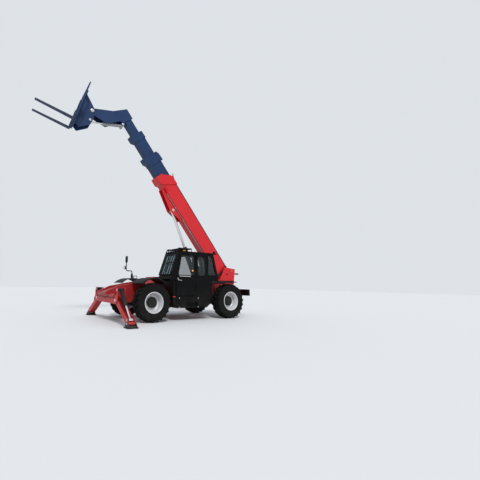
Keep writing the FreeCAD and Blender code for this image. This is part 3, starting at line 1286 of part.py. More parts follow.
def make_guards():
    """The bars in front of the windscreen, and the guard on the roof with its cross bars."""
    bars = []
    low, high = "cab_waist + pillar", "cab_roof"
    for index in range(int(size("guard_count"))):
        share = f"({index} / (guard_count - 1))"
        middle = f"(cab_inside + pillar + {share} * (cab_outside - cab_inside - pillar * 2))"
        corners = [
            (f"{screen_slope(low)} + guard_proud - guard_rod", low),
            (f"{screen_slope(low)} + guard_proud + guard_rod", low),
            (f"{screen_slope(high)} + guard_proud + guard_rod", high),
            (f"{screen_slope(high)} + guard_proud - guard_rod", high),
        ]
        bars.append(padded("ScreenBar", "side", corners, f"{middle} - guard_rod", f"{middle} + guard_rod"))
    wide = ("cab_inside + pillar - guard_rod", "cab_outside - pillar + guard_rod")
    for height in (low, high):
        skin = screen_slope(f"{height} - guard_rod")
        bars.append(block("ScreenRail", (f"{skin} + seat_gap", f"{skin} + guard_proud"), wide,
                          (f"{height} - guard_rod", f"{height} + guard_rod")))
    rails = []
    front, rear = "cab_brow - pillar", "cab_nape + pillar * 4"
    level = ("cab_roof + rack_high - guard_rod", "cab_roof + rack_high + guard_rod")
    for index in range(int(size("guard_count"))):
        share = f"({index} / (guard_count - 1))"
        middle = f"(cab_inside + pillar + {share} * (cab_outside - cab_inside - pillar * 2))"
        rails.append(block("RoofBar", (rear, front), (f"{middle} - guard_rod", f"{middle} + guard_rod"), level))
    for place in (rear, front):
        rails.append(block("RoofRail", (f"{place} - guard_rod", f"{place} + guard_rod"), wide, ("cab_roof", level[1])))
    on_machine("cab_guards", gathered("CabGuards", joined("ScreenGuard", *bars), joined("RoofGuard", *rails)))


def make_inside():
    """The seat and the steering column in the cab."""
    floor = "cab_sill + cab_wall"
    half = "seat_width / 2"
    side = ("seat_side - seat_width / 2", "seat_side + seat_width / 2")
    pedestal = block("SeatPost", ("seat_ahead - seat_post", "seat_ahead + seat_post"),
                     ("seat_side - seat_post", "seat_side + seat_post"), (floor, "seat_high - seat_thick"))
    cushion = block("Cushion", (f"seat_ahead - {half}", f"seat_ahead + {half}"), side,
                    ("seat_high - seat_thick", "seat_high"))
    back = padded("SeatBack", "side", [
        (f"seat_ahead - {half}", "seat_high - seat_thick * 0.5"),
        (f"seat_ahead - {half} + seat_thick", "seat_high - seat_thick * 0.5"),
        (f"seat_ahead - {half} + seat_thick * 0.5", "seat_high + seat_back_tall"),
        (f"seat_ahead - {half} - seat_thick * 0.4", "seat_high + seat_back_tall"),
    ], *side)
    on_machine("seat", joined("Seat", pedestal, cushion, back))
    lean = "column_tall * sin(column_lean * 1 deg)"
    rise = "column_tall * cos(column_lean * 1 deg)"
    column = padded("Column", "side", [
        ("dash_ahead - column_radius", floor),
        ("dash_ahead + column_radius", floor),
        (f"dash_ahead + column_radius - {lean}", f"{floor} + {rise}"),
        (f"dash_ahead - column_radius - {lean}", f"{floor} + {rise}"),
    ], "seat_side - column_radius", "seat_side + column_radius")
    ring = bar("WheelRing", "z", (f"dash_ahead - {lean}", "seat_side", "0"), f"{floor} + {rise} - wheel_grip",
               f"{floor} + {rise} + wheel_grip", "wheel_ring")
    on_machine("steering_column", joined("SteeringColumn", column, ring))


def make_side_box():
    """The box under the cab, with a step let into its outer side."""
    box = padded("SideBox", "side", [
        ("cab_rear", "box_low + step_deep * 0.5"),
        ("cab_rear + step_deep", "box_low"),
        ("cab_knee - step_deep * 0.5", "box_low"),
        ("cab_knee", "box_low + step_deep * 0.5"),
        ("cab_knee", "cab_sill - seat_gap"),
        ("cab_rear", "cab_sill - seat_gap"),
    ], "box_inside", "cab_outside")
    for low in ("box_low + step_deep * 0.6", "box_low + step_deep * 1.9"):
        add_pocket(box, "front", [
            ("cab_outside - step_deep", low),
            ("cab_outside + step_deep", low),
            ("cab_outside + step_deep", f"{low} + step_deep"),
            ("cab_outside - step_deep", f"{low} + step_deep"),
        ], "post_ahead + pillar", "post_ahead + pillar + step_deep * 4")
    bracket = block("BoxBracket", ("cab_rear + step_deep", "cab_knee - step_deep"),
                    ("frame_side + seat_gap", "box_inside"), ("box_low + step_deep", "cab_sill - step_deep"))
    on_machine("side_box", joined("SideBoxBody", box, bracket))


def make_engine_side():
    """The engine's tray, the engine's plain block and the hood over them, on the right."""
    inner, outer = "-bay_inside", "-bay_outside"
    tray = block("Tray", ("bay_rear", "bay_front"), (outer, inner), ("bay_low", "bay_lip"))
    hollow = block("TrayRoom", ("bay_rear + hood_wall", "bay_front - hood_wall"),
                   (f"{outer} + hood_wall", f"{inner} - hood_wall"), ("bay_low + hood_wall", "bay_lip + hood_wall"))
    back = block("BayWall", ("bay_rear", "bay_front"), (f"{inner} - hood_wall", inner), ("bay_low", "bay_top - hood_wall * 2"))
    bearers = block("TrayBearer", ("bay_rear + plate * 4", "bay_front - plate * 4"), (inner, "-frame_side - seat_gap"),
                    ("bay_low + plate * 3", "bay_lip - plate * 3"))
    hinge_y, hinge_z = f"{inner} - hood_wall / 2", "bay_top - hood_wall / 2"
    lugs = []
    for ends in (("bay_rear", "bay_rear + plate * 4 - seat_gap"), ("bay_front - plate * 4 + seat_gap", "bay_front")):
        lugs.append(bar("TrayHinge", "x", ("0", hinge_y, hinge_z), ends[0], ends[1], "hood_wall / 2"))
        lugs.append(block("TrayLug", ends, (f"{inner} - hood_wall", inner), ("bay_top - hood_wall * 2", hinge_z)))
    on_machine("engine_tray", joined("EngineTray", without("TrayShell", tray, hollow), back, bearers, *lugs))
    middle_x = "(bay_rear + bay_front) / 2"
    middle_y = "-(bay_inside + bay_outside) / 2"
    engine = block("EngineBox", (f"{middle_x} - engine_long / 2", f"{middle_x} + engine_long / 2"),
                   (f"{middle_y} - engine_wide / 2", f"{middle_y} + engine_wide / 2"),
                   ("bay_low + hood_wall + seat_gap", "bay_low + hood_wall + engine_tall"))
    on_machine("engine_block", gathered("EngineMass", engine))
    low = "bay_lip + move_gap"
    skin = padded("HoodSkin", "front", [
        (outer, low),
        (f"{inner} - hood_wall - move_gap", low),
        (f"{inner} - hood_wall - move_gap", "bay_top"),
        (f"{outer} + plate * 4", "bay_top"),
        (outer, "bay_top - plate * 4"),
    ], "bay_rear", "bay_front")
    add_pocket(skin, "front", [
        (f"{outer} + hood_wall", f"{low} - hood_wall"),
        (f"{inner} + hood_wall", f"{low} - hood_wall"),
        (f"{inner} + hood_wall", "bay_top - hood_wall"),
        (f"{outer} + plate * 4 + hood_wall * 0.4", "bay_top - hood_wall"),
        (f"{outer} + hood_wall", "bay_top - plate * 4 - hood_wall * 0.4"),
    ], "bay_rear + hood_wall", "bay_front - hood_wall")
    barrel = bar("HoodHinge", "x", ("0", hinge_y, hinge_z), "bay_rear + plate * 4",
                 "bay_front - plate * 4", "hood_wall / 2")
    leaf = block("HoodLeaf", ("bay_rear + plate * 4", "bay_front - plate * 4"),
                 (f"{inner} - hood_wall - move_gap * 2", f"{inner} - hood_wall / 2"), ("bay_top - hood_wall * 0.7", "bay_top - hood_wall * 0.3"))
    on_machine("engine_hood", joined("EngineHood", skin, barrel, leaf))


def make_tail():
    """The counterweight between the frame's tails, the rear bumper and the tow hitch."""
    tail = "-frame_tail"
    ballast = block("Ballast", ("-frame_tail + plate + seat_gap", "-arch_half - arch_run"),
                    ("-tank_half", "tank_half"), ("frame_low + plate", "frame_top - plate * 2"))
    on_machine("counterweight", gathered("CounterweightMass", ballast))
    bumper = padded("Bumper", "plan", [
        (f"{tail} - seat_gap", "tail_half"),
        (f"{tail} - tail_deep * 0.6", "tail_half"),
        (f"{tail} - tail_deep", "tail_half - tail_deep"),
        (f"{tail} - tail_deep", "tail_deep - tail_half"),
        (f"{tail} - tail_deep * 0.6", "-tail_half"),
        (f"{tail} - seat_gap", "-tail_half"),
    ], "tail_low", "tail_low + tail_tall")
    on_machine("rear_bumper", bumper)
    start = f"{tail} - tail_deep - hitch_back"
    jaws = []
    for low in ("hitch_low", "hitch_low + hitch_plate + hitch_jaw"):
        jaws.append(block("HitchJaw", (f"{start} - hitch_plate * 2", f"{tail} - seat_gap"), ("-hitch_width / 2", "hitch_width / 2"),
                          (low, f"{low} + hitch_plate")))
    spine = block("HitchSpine", (f"{tail} - plate - seat_gap", f"{tail} - seat_gap"), ("-hitch_width / 2", "hitch_width / 2"),
                  ("hitch_low", "tail_low - seat_gap"))
    bore = bar("HitchBore", "z", (start, "0", "0"), "hitch_low - hitch_plate", "hitch_low + hitch_jaw * 2", "hitch_bore")
    on_machine("tow_hitch", without("TowHitch", joined("HitchBody", *jaws, spine), bore))


def make_mudguards():
    """Four mudguards over the tyres, each a flat with two slopes, on an arm from the frame.

    Columns: axle's place, sign of its side.
    """
    low = "tyre_radius * 2 + mudguard_room"
    pieces = []
    for ahead, side in (("wheel_base", ""), ("wheel_base", "-"), ("0", ""), ("0", "-")):
        top = f"{low} + mudguard_plate"
        end = "(mudguard_half + mudguard_skirt)"
        corners = [
            (f"{ahead} - {end}", f"{low} - mudguard_drop"),
            (f"{ahead} - mudguard_half", low),
            (f"{ahead} + mudguard_half", low),
            (f"{ahead} + {end}", f"{low} - mudguard_drop"),
            (f"{ahead} + {end}", f"{top} - mudguard_drop"),
            (f"{ahead} + mudguard_half", top),
            (f"{ahead} - mudguard_half", top),
            (f"{ahead} - {end}", f"{top} - mudguard_drop"),
        ]
        near, far = "nose_half + seat_gap", "wheel_side + tyre_width / 2"
        reach = (near, far) if side == "" else (f"-({far})", f"-({near})")
        pieces.append(padded("Mudguard", "side", corners, *reach))
        if ahead != "0":
            continue
        inner = "frame_side + tower_plate + seat_gap"
        arm = (inner, near) if side == "" else (f"-({near})", f"-({inner})")
        pieces[-1] = joined("GuardOnArm", pieces[-1], block("GuardArm", ("-plate * 2", "plate * 2"), arm, (low, top)))
    on_machine("mudguards", gathered("Mudguards", *pieces))


def make_lamps():
    """Work lamps on the roof's front and the beacon behind them."""
    lamps = []
    for side in ("cab_inside + pillar * 2", "cab_outside - pillar * 2"):
        lamps.append(bar("WorkLamp", "x", ("0", side, "cab_roof + rack_high + lamp_radius + guard_rod"),
                         "cab_brow - pillar - lamp_deep", "cab_brow - pillar", "lamp_radius"))
    dome = bar("BeaconDome", "z", ("cab_nape + pillar * 2", "cab_outside - pillar * 3", "0"),
               "cab_roof", "cab_roof + beacon_tall", "beacon_radius")
    on_machine("lamps", gathered("Lamps", dome, *lamps))


def make_mirrors():
    """A mirror on a stalk at the cab's front corner, and one on a post on the right mudguard."""
    mirrors = []
    # Columns: name, stalk's place along the machine, across it, its foot, mirror's middle height, sign outwards.
    table = [
        ("Left", "cab_prow - pillar", "cab_outside", "cab_waist - pillar", "cab_waist + mirror_tall", "1"),
        ("Right", "wheel_base", "-wheel_side", "tyre_radius * 2 + mudguard_room + mudguard_plate + seat_gap",
         "cab_waist + mirror_tall * 1.8", "-1"),
    ]
    for name, ahead, side, foot, middle, way in table:
        low = f"{middle} - mirror_tall / 2"
        if way == "1":
            post = bar(f"{name}Stalk", "z", (ahead, f"{side} + mirror_wide * 0.6", "0"), foot, low, "stalk_radius")
            arm = bar(f"{name}Arm", "y", (ahead, "0", foot), f"{side} + seat_gap", f"{side} + mirror_wide * 0.6",
                      "stalk_radius")
        else:
            post = bar(f"{name}Stalk", "z", (ahead, side, "0"), foot, low, "stalk_radius")
            arm = bar(f"{name}Foot", "z", (ahead, side, "0"), foot, f"{foot} + stalk_radius", "stalk_radius * 2")
        centre = f"{side} + mirror_wide * 0.6" if way == "1" else side
        glass = block(f"{name}Mirror", (f"{ahead} - mirror_deep / 2", f"{ahead} + mirror_deep / 2"),
                      (f"{centre} - mirror_wide / 2", f"{centre} + mirror_wide / 2"), (low, f"{low} + mirror_tall"))
        mirrors.append(joined(f"{name}MirrorSet", post, arm, glass))
    on_machine("mirrors", gathered("Mirrors", *mirrors))


SHEET = open_sheet()


def main():
    """Build every piece, check them all and write one file for each."""
    make_wheels()
    make_axle("axle_front", "wheel_base")
    make_axle("axle_rear", "0")
    make_knuckles()
    make_frame()
    make_tower()
    make_boom()
    make_lift_cylinder()
    make_compensation_cylinder()
    make_head()
    make_tilt_cylinder()
    make_carriage()
    make_nose()
    make_stabilisers()
    make_cab()
    make_inside()
    make_side_box()
    make_engine_side()
    make_tail()
    make_mudguards()
    make_lamps()
    make_mirrors()
    check_and_write()


def check_and_write():
    """Stop if any object failed or any piece is empty or broken, then write the files."""
    DOC.recompute()
    failed = [item.Name for item in DOC.Objects if {"Invalid", "Error"} & set(item.State)]
    if failed:
        raise RuntimeError(f"objects that failed: {failed}")
    for piece in NODES:
        if piece.Shape.isNull() or not piece.Shape.isValid() or not piece.Shape.Solids:
            raise RuntimeError(f"{piece.Label} is not a sound solid")
    os.makedirs("parts", exist_ok=True)
    for piece in NODES:
        piece.Shape.exportStep(os.path.join("parts", f"{piece.Label}.step"))
        print(piece.Label, len(piece.Shape.Solids), [round(v) for v in bounds_of(piece.Shape)])


def bounds_of(shape):
    """The six bounds of a shape, low corner then high corner."""
    box = shape.BoundBox
    return box.XMin, box.YMin, box.ZMin, box.XMax, box.YMax, box.ZMax


main()
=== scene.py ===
"""Looks of the telehandler: finishes for its solid pieces and the surfaces that need more form.

Lengths are in metres in the machine's own frame: X forward, Y to the left, Z up, with the floor
at zero.  Points of the boom are given along the boom (u) and square to it (w) from its pivot pin.
"""
from math import cos, hypot, pi, radians, sin, sqrt
import bmesh
import bpy
import numpy as np
from mathutils import Matrix
from mathutils.geometry import tessellate_polygon


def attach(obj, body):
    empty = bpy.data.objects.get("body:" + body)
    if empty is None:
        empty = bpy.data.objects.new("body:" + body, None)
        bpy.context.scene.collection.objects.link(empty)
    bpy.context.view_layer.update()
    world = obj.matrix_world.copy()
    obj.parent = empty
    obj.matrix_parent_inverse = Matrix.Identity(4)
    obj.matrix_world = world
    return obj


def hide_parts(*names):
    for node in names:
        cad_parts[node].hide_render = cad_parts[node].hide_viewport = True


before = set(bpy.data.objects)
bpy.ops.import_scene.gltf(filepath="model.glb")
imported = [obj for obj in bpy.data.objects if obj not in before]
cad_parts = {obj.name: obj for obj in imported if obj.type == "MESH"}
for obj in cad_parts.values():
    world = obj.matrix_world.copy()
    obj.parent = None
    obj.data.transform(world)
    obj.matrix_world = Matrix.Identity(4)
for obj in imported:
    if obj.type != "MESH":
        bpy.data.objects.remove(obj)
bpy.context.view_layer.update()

TAU = 2 * pi
REAR_AXLE = -2.821
WHEELBASE = 3.07
HALF_TRACK = 1.005
AXLE_HEIGHT = 0.59
PIVOT = np.array([-3.641, 0.0, 1.7])
BOOM_TURN = radians(52.0)
FORK_TURN = radians(15.0)
TILT_PIN = (7.78, -1.44)
ACROSS = np.array([0.0, 1.0, 0.0])


# Places

def turned(base, angle, a, y, b):
    """The point a along and b across a direction that rises by an angle from a base, at y."""
    a, y, b = np.broadcast_arrays(*[np.asarray(v, float) for v in (a, y, b)])
    c, s = cos(angle), sin(angle)
    return np.stack([base[0] + a * c - b * s, y, base[2] + a * s + b * c], -1)


def boom_point(u, y, w):
    """A boom point in the machine: the pivot plus u along and w across the raised boom."""
    return turned(PIVOT, BOOM_TURN, u, y, w)


def fork_point(x, y, z):
    """A carriage point in the machine: x along the forks and z square to them from the tilt pin."""
    return turned(boom_point(TILT_PIN[0], 0.0, TILT_PIN[1]), FORK_TURN, x, y, z)


def spot(x, y, z):
    """A point given from the floor under the rear axle."""
    return turned((REAR_AXLE, 0.0, 0.0), 0.0, x, y, z)


# Meshes

def unit(way):
    """A direction, or each row of a list of them, at length one."""
    way = np.asarray(way, float)
    return way / np.linalg.norm(way, axis=-1, keepdims=True)


def about(axis):
    """An axis at length one and two directions square to it and to each other."""
    axis = unit(axis)
    first = unit(np.cross(axis, (0.0, 0.0, 1.0) if abs(axis[2]) < 0.9 else (1.0, 0.0, 0.0)))
    return axis, first, np.cross(axis, first)


def rect(a0, a1, b0, b1):
    """The four corners of a rectangle."""
    return [(a0, b0), (a1, b0), (a1, b1), (a0, b1)]


def end_caps(rows, columns):
    """Caps over the first and the last row of a grid of points."""
    return [range(columns), range((rows - 1) * columns, rows * columns)]


def grid_faces(rows, columns, wrap_rows=False, wrap_columns=False):
    """Quads of a grid of points; a wrapped direction closes on its start."""
    r = np.arange(rows if wrap_rows else rows - 1)
    c = np.arange(columns if wrap_columns else columns - 1)
    r, c = np.meshgrid(r, c, indexing="ij")
    up, right = (r + 1) % rows, (c + 1) % columns
    quads = np.stack([r * columns + c, r * columns + right, up * columns + right, up * columns + c], -1)
    return quads.reshape(-1, 4)


# What each finish is called in the library; the others are dark_paint.
SLOTS = {"MachineRed": "red_paint", "LegRedPaintedShade": "red_paint", "RimSilver": "rim_paint", "TyreRubber": "tyre_rubber",
         "SoftBlackPlastic": "black_plastic", "CushionFabric": "seat_fabric", "BoltZinc": "rod_chrome",
         "CylinderChrome": "rod_chrome", "MirrorGlass": "rod_chrome", "LampGlass": "lamp_lens", "AmberLens": "lamp_lens",
         "RedLens": "lamp_lens", "CabGlass": "cab_glass", "ScreenGlassPaintedSkyReflection": "cab_glass"}


class Form:
    """Grows one mesh from several surfaces."""

    def __init__(self):
        self.points, self.quads, self.caps, self.count = [], [], [], 0

    def add(self, points, quads, caps=()):
        """Take a surface: its points, its quads and any many sided caps, counted from zero."""
        points = np.asarray(points, float).reshape(-1, 3)
        self.points.append(points)
        self.quads.append(np.asarray(quads, int).reshape(-1, 4) + self.count)
        self.caps += [[int(i) + self.count for i in cap] for cap in caps]
        self.count += len(points)

    def build(self, name, surface, stands_for=(), body="chassis", crease=32.0, slot=None):
        """Make the object at the origin, smooth but for edges sharper than crease degrees."""
        faces = np.concatenate(self.quads).tolist() + self.caps
        mesh = bpy.data.meshes.new(name)
        mesh.from_pydata(np.concatenate(self.points).tolist(), [], faces)
        mesh.validate()
        set_outward(mesh)
        mesh.polygons.foreach_set("use_smooth", np.ones(len(mesh.polygons), bool))
        mesh.set_sharp_from_angle(angle=radians(crease))
        mesh.materials.append(surface)
        piece = bpy.data.objects.new(name, mesh)
        bpy.context.scene.collection.objects.link(piece)
        if stands_for:
            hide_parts(*stands_for)
        slot or SLOTS.get(surface.name, "dark_paint")
        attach(piece, body)
        return piece


def set_outward(mesh, join=0.0):
    """Join points closer than a distance and turn each closed shell's faces outwards."""
    work = bmesh.new()
    work.from_mesh(mesh)
    if join:
        bmesh.ops.remove_doubles(work, verts=work.verts, dist=join)
    bmesh.ops.recalc_face_normals(work, faces=work.faces)
    work.to_mesh(mesh)
    work.free()


def ring_profile(form, profile, centre, segments, side):
    """Turn a closed (y, radius) profile about the Y axis: the point at turn t is
    centre + (radius sin t, side y, radius cos t)."""
    t = np.linspace(0, TAU, segments, endpoint=False)[:, None]
    y, r = np.asarray(profile, float).T[:, None]
    points = np.stack([centre[0] + r * np.sin(t), centre[1] + side * y + 0 * t, centre[2] + r * np.cos(t)], -1)
    form.add(points, grid_faces(segments, len(profile), True, True))


def tube(form, path, radius, sides=12, closed=False):
    """Carry a circle along a path: each ring lies square to the path's mean direction there."""
    path = np.asarray(path, float)
    ahead = np.roll(path, -1, 0) - path
    behind = path - np.roll(path, 1, 0)
    if not closed:
        ahead[-1], behind[0] = behind[-1], ahead[0]
    along = unit(unit(ahead) + unit(behind))
    first = unit(np.cross(along, (0.0, 1.0, 0.0) if abs(along[:, 1]).max() < 0.9 else (0.31, 0.0, 0.95)))
    t = np.linspace(0, TAU, sides, endpoint=False)[None, :, None]
    points = path[:, None] + radius * (np.cos(t) * first[:, None] + np.sin(t) * np.cross(along, first)[:, None])
    form.add(points, grid_faces(len(path), sides, closed, True), [] if closed else end_caps(len(path), sides))


def rounded(corners, radius, steps=5):
    """Round a run of points: each inner corner becomes a quadratic curve between its neighbours,
    starting and ending radius away from it."""
    corners = np.asarray(corners, float)
    at = corners[1:-1]
    start, end = [at + unit(way) * np.minimum(radius, np.linalg.norm(way, axis=1)[:, None] * 0.49)
                  for way in (corners[:-2] - at, corners[2:] - at)]
    t = np.linspace(0, 1, steps)[None, :, None]
    bends = (1 - t) ** 2 * start[:, None] + 2 * t * (1 - t) * at[:, None] + t ** 2 * end[:, None]
    return np.concatenate([corners[:1], bends.reshape(-1, corners.shape[1]), corners[-1:]])


def slab(form, outline, place, low, high, bevel=0.004):
    """A plate: a closed outline carried from low to high, drawn in by bevel at both faces.

    place(a, b, level) turns outline columns and a level into machine points."""
    outline = np.asarray(outline, float)
    centre, half = middle_and_half(outline)
    inner = centre + (outline - centre) * (1 - bevel / np.maximum(half, bevel * 2))
    loops = [(inner, low), (outline, low + bevel), (outline, high - bevel), (inner, high)]
    points = np.stack([place(*loop.T, level) for loop, level in loops])
    form.add(points, grid_faces(4, len(outline), False, True), end_caps(4, len(outline)))


def middle_and_half(outline):
    """The middle of an outline's ranges and half their lengths."""
    return (outline.max(0) + outline.min(0)) / 2, (outline.max(0) - outline.min(0)) / 2


def rounded_box(form, low, high, power, steps):
    """A box with soft edges: the superellipsoid |x|^p + |y|^p + |z|^p = 1, stretched to fit."""
    a = np.linspace(0, TAU, steps * 4, endpoint=False)[:, None]
    b = np.linspace(-pi / 2, pi / 2, steps * 2 + 1)[None]
    x, y, z = np.cos(a) * np.cos(b), np.sin(a) * np.cos(b), np.sin(b) + 0 * a
    size = (np.abs(x) ** power + np.abs(y) ** power + np.abs(z) ** power) ** (-1 / power)
    points = np.stack([x, y, z], -1) * size[..., None]
    form.add((low + high) / 2 + points * (high - low) / 2, grid_faces(steps * 4, steps * 2 + 1, True, False))


def bolts(form, points, normal, radius, height):
    """Hexagon heads with a low crown: rings of six at 0, full and inset height, at every point."""
    normal, first, second = about(normal)
    t = np.linspace(0, TAU, 6, endpoint=False)[:, None]
    circle = (np.cos(t) * first + np.sin(t) * second) * radius
    rings = np.stack([circle, circle + normal * height * 0.75, circle * 0.8 + normal * height])
    for shape in np.asarray(points, float).reshape(-1, 1, 1, 3) + rings:
        form.add(shape, grid_faces(3, 6, False, True), end_caps(3, 6))


def bolt_circle(form, centre, reach, count, side, radius, height):
    """Bolt heads evenly round a circle about the Y axis, the first one on top."""
    t = np.linspace(0, TAU, count, endpoint=False)
    points = np.stack([centre[0] + reach * np.sin(t), np.full(count, centre[1]), centre[2] + reach * np.cos(t)], -1)
    bolts(form, points, (0, side, 0), radius, height)


# Finishes

def feed(tree, node, inputs):
    """Set a node's inputs by name or place, linking those that come from another node."""
    for key, value in inputs.items():
        if isinstance(value, bpy.types.NodeSocket):
            tree.links.new(value, node.inputs[key])
        else:
            node.inputs[key].default_value = value
    return node.outputs


def add_node(tree, kind, inputs):
    """Add a shader node with its inputs and give back its outputs."""
    return feed(tree, tree.nodes.new("ShaderNode" + kind), inputs)


def new_material(name):
    """A material with its node tree and its surface shader."""
    material = bpy.data.materials.new(name)
    material.use_nodes = True
    return material, material.node_tree, material.node_tree.nodes["Principled BSDF"]


def wear_group():
    """Colour, roughness and height of a painted or moulded surface that has worked outdoors:
    wide cloudy tone, fine speckle, dust that thins with height above the floor, and scuffs."""
    group = bpy.data.node_groups.new("WorkedSurface", "ShaderNodeTree")
    for name, kind, value in (("Position", "Vector", None), ("Colour", "Color", (0.5, 0.5, 0.5, 1)),
                              ("Scuff Colour", "Color", (0.3, 0.3, 0.3, 1)),
                              ("Dust Colour", "Color", (0.3, 0.27, 0.23, 1)), ("Roughness", "Float", 0.4),
                              ("Tone", "Float", 0.12), ("Scuffs", "Float", 0.2), ("Dust", "Float", 0.3),
                              ("Dust Height", "Float", 1.2), ("Grain Scale", "Float", 220.0)):
        made = group.interface.new_socket(name=name, in_out="INPUT", socket_type="NodeSocket" + kind)
        if value is not None:
            made.default_value = value
    for name, kind in (("Colour", "Color"), ("Roughness", "Float"), ("Height", "Float")):
        group.interface.new_socket(name=name, in_out="OUTPUT", socket_type="NodeSocket" + kind)
    given = group.nodes.new("NodeGroupInput").outputs

    def noise(scale, detail, rough):
        return add_node(group, "TexNoise", {"Vector": given["Position"], "Scale": scale, "Detail": detail,
                                            "Roughness": rough})["Fac"]

    def work_out(kind, a, b, clamp=False):
        node = group.nodes.new("ShaderNodeMath")
        node.operation, node.use_clamp = kind, clamp
        return feed(group, node, {0: a, 1: b})[0]

    def ramp(value, low, high):
        node = group.nodes.new("ShaderNodeMapRange")
        node.interpolation_type = "SMOOTHSTEP"
        return feed(group, node, {0: value, 1: low, 2: high})[0]

    def mix(share, a, b):
        node = group.nodes.new("ShaderNodeMix")
        node.data_type = "RGBA"
        return feed(group, node, {"Factor": share, "A": a, "B": b})["Result"]

    clouds = work_out("SUBTRACT", noise(1.7, 4.0, 0.55), 0.5)
    tone = work_out("MULTIPLY", work_out("MULTIPLY", clouds, given["Tone"]), 2.0)
    shaded = add_node(group, "HueSaturation", {"Value": work_out("ADD", tone, 1.0), "Color": given["Colour"]})["Color"]
    scratches = ramp(work_out("MULTIPLY", noise(9.0, 8.0, 0.72), noise(2.6, 3.0, 0.5)), 0.33, 0.42)
    scuff = work_out("MULTIPLY", scratches, given["Scuffs"], True)
    height = add_node(group, "SeparateXYZ", {0: given["Position"]})["Z"]
    low = work_out("SUBTRACT", 1.0, work_out("DIVIDE", height, given["Dust Height"]), True)
    dust = work_out("MULTIPLY", low, ramp(noise(5.0, 6.0, 0.65), 0.32, 0.72))
    dust = work_out("MULTIPLY", dust, given["Dust"], True)
    rough = work_out("ADD", given["Roughness"], work_out("MULTIPLY", clouds, 0.16))
    rough = work_out("ADD", rough, work_out("MULTIPLY", work_out("ADD", dust, scuff), 0.35))
    grain = noise(given["Grain Scale"], 2.0, 0.5)
    feed(group, group.nodes.new("NodeGroupOutput"), {
        "Colour": mix(dust, mix(scuff, shaded, given["Scuff Colour"]), given["Dust Colour"]),
        "Roughness": work_out("MINIMUM", rough, 0.95),
        "Height": work_out("ADD", grain, work_out("MULTIPLY", dust, 0.6))})
    return group


WORKED = wear_group()


def finish(name, colour, roughness, bump=0.02, metal=0.0, coat=0.0, shine=0.5, **values):
    """A worked surface in one colour: the group drives colour, roughness and a fine bump."""
    material, tree, shader = new_material(name)
    node = tree.nodes.new("ShaderNodeGroup")
    node.node_tree = WORKED
    inputs = {"Position": add_node(tree, "TexCoord", {})["Object"], "Colour": (*colour, 1), "Roughness": roughness}
    for key, value in values.items():
        inputs[key.replace("_", " ").title()] = (*value, 1) if isinstance(value, tuple) else value
    worn = feed(tree, node, inputs)
    height = add_node(tree, "Bump", {"Strength": bump * 10, "Distance": 0.001, "Height": worn["Height"]})
    feed(tree, shader, {"Base Color": worn["Colour"], "Roughness": worn["Roughness"], "Normal": height["Normal"],
                        "Metallic": metal, "Coat Weight": coat, "Specular IOR Level": shine, "Coat Roughness": 0.12})
    return material


RED = finish("MachineRed", (0.56, 0.012, 0.017), 0.42, coat=0.08, shine=0.3, tone=0.1, scuffs=0.04, dust=0.1,
             dust_height=1.0, scuff_colour=(0.36, 0.02, 0.02))
# The nose's red is a darker copy of the machine red: painted shade over the front nose.
SHADED_NOSE_RED = finish("NoseRedPaintedShade", (0.27, 0.01, 0.012), 0.44, coat=0.05, shine=0.25, tone=0.14, scuffs=0.06, dust=0.12,
                  dust_height=1.2, scuff_colour=(0.12, 0.02, 0.02))
# The beam and legs' red is a darker copy of the machine red: painted shade over the stabiliser beam and legs.
SHADED_LEG_RED = finish("LegRedPaintedShade", (0.4, 0.012, 0.015), 0.44, coat=0.05, shine=0.25, tone=0.14, scuffs=0.1, dust=0.14,
                 dust_height=0.9, scuff_colour=(0.16, 0.02, 0.02))
NAVY = finish("BoomNavy", (0.01, 0.031, 0.092), 0.44, coat=0.02, shine=0.22, tone=0.25, scuffs=0.1, dust=0.0,
              scuff_colour=(0.06, 0.07, 0.09))
BLACK = finish("CabBlack", (0.0026, 0.0026, 0.0029), 0.42, shine=0.09, tone=0.3, scuffs=0.04, dust=0.05,
               dust_height=1.1, scuff_colour=(0.03, 0.03, 0.03))
STEEL_BLACK = finish("FrameBlack", (0.0065, 0.0065, 0.007), 0.55, shine=0.2, tone=0.3, scuffs=0.12, dust=0.12,
                     dust_height=1.0, scuff_colour=(0.05, 0.045, 0.042))
RUBBER = finish("TyreRubber", (0.0046, 0.0046, 0.0046), 0.8, bump=0.05, shine=0.12, tone=0.2, scuffs=0.06, dust=0.35,
                dust_height=1.3, scuff_colour=(0.03, 0.029, 0.027), dust_colour=(0.034, 0.032, 0.029), grain_scale=160.0)
SOFT_BLACK = finish("SoftBlackPlastic", (0.005, 0.005, 0.0054), 0.6, bump=0.05, shine=0.16, tone=0.2, scuffs=0.05,
                    dust=0.06, grain_scale=380.0, scuff_colour=(0.03, 0.03, 0.03))
RIM_SILVER = finish("RimSilver", (0.56, 0.57, 0.58), 0.38, metal=0.25, coat=0.15, tone=0.1, scuffs=0.1, dust=0.2,
                    dust_height=1.3, scuff_colour=(0.3, 0.29, 0.28))
FORGED = finish("ForkSteel", (0.01, 0.024, 0.065), 0.45, shine=0.3, tone=0.3, scuffs=0.25, dust=0.0,
                scuff_colour=(0.07, 0.08, 0.1))
ENGINE = finish("EngineIron", (0.1, 0.1, 0.105), 0.55, metal=0.4, tone=0.3, scuffs=0.4, dust=0.2)
HOSE = finish("HoseGrey", (0.3, 0.31, 0.32), 0.5, tone=0.1, scuffs=0.1, dust=0.0)
BOLT = finish("BoltZinc", (0.58, 0.58, 0.56), 0.34, metal=0.85, tone=0.1, scuffs=0.2, dust=0.0)
FABRIC = finish("CushionFabric", (0.03, 0.031, 0.035), 0.88, bump=0.08, shine=0.3, tone=0.2, scuffs=0.0, dust=0.0,
                grain_scale=900.0)


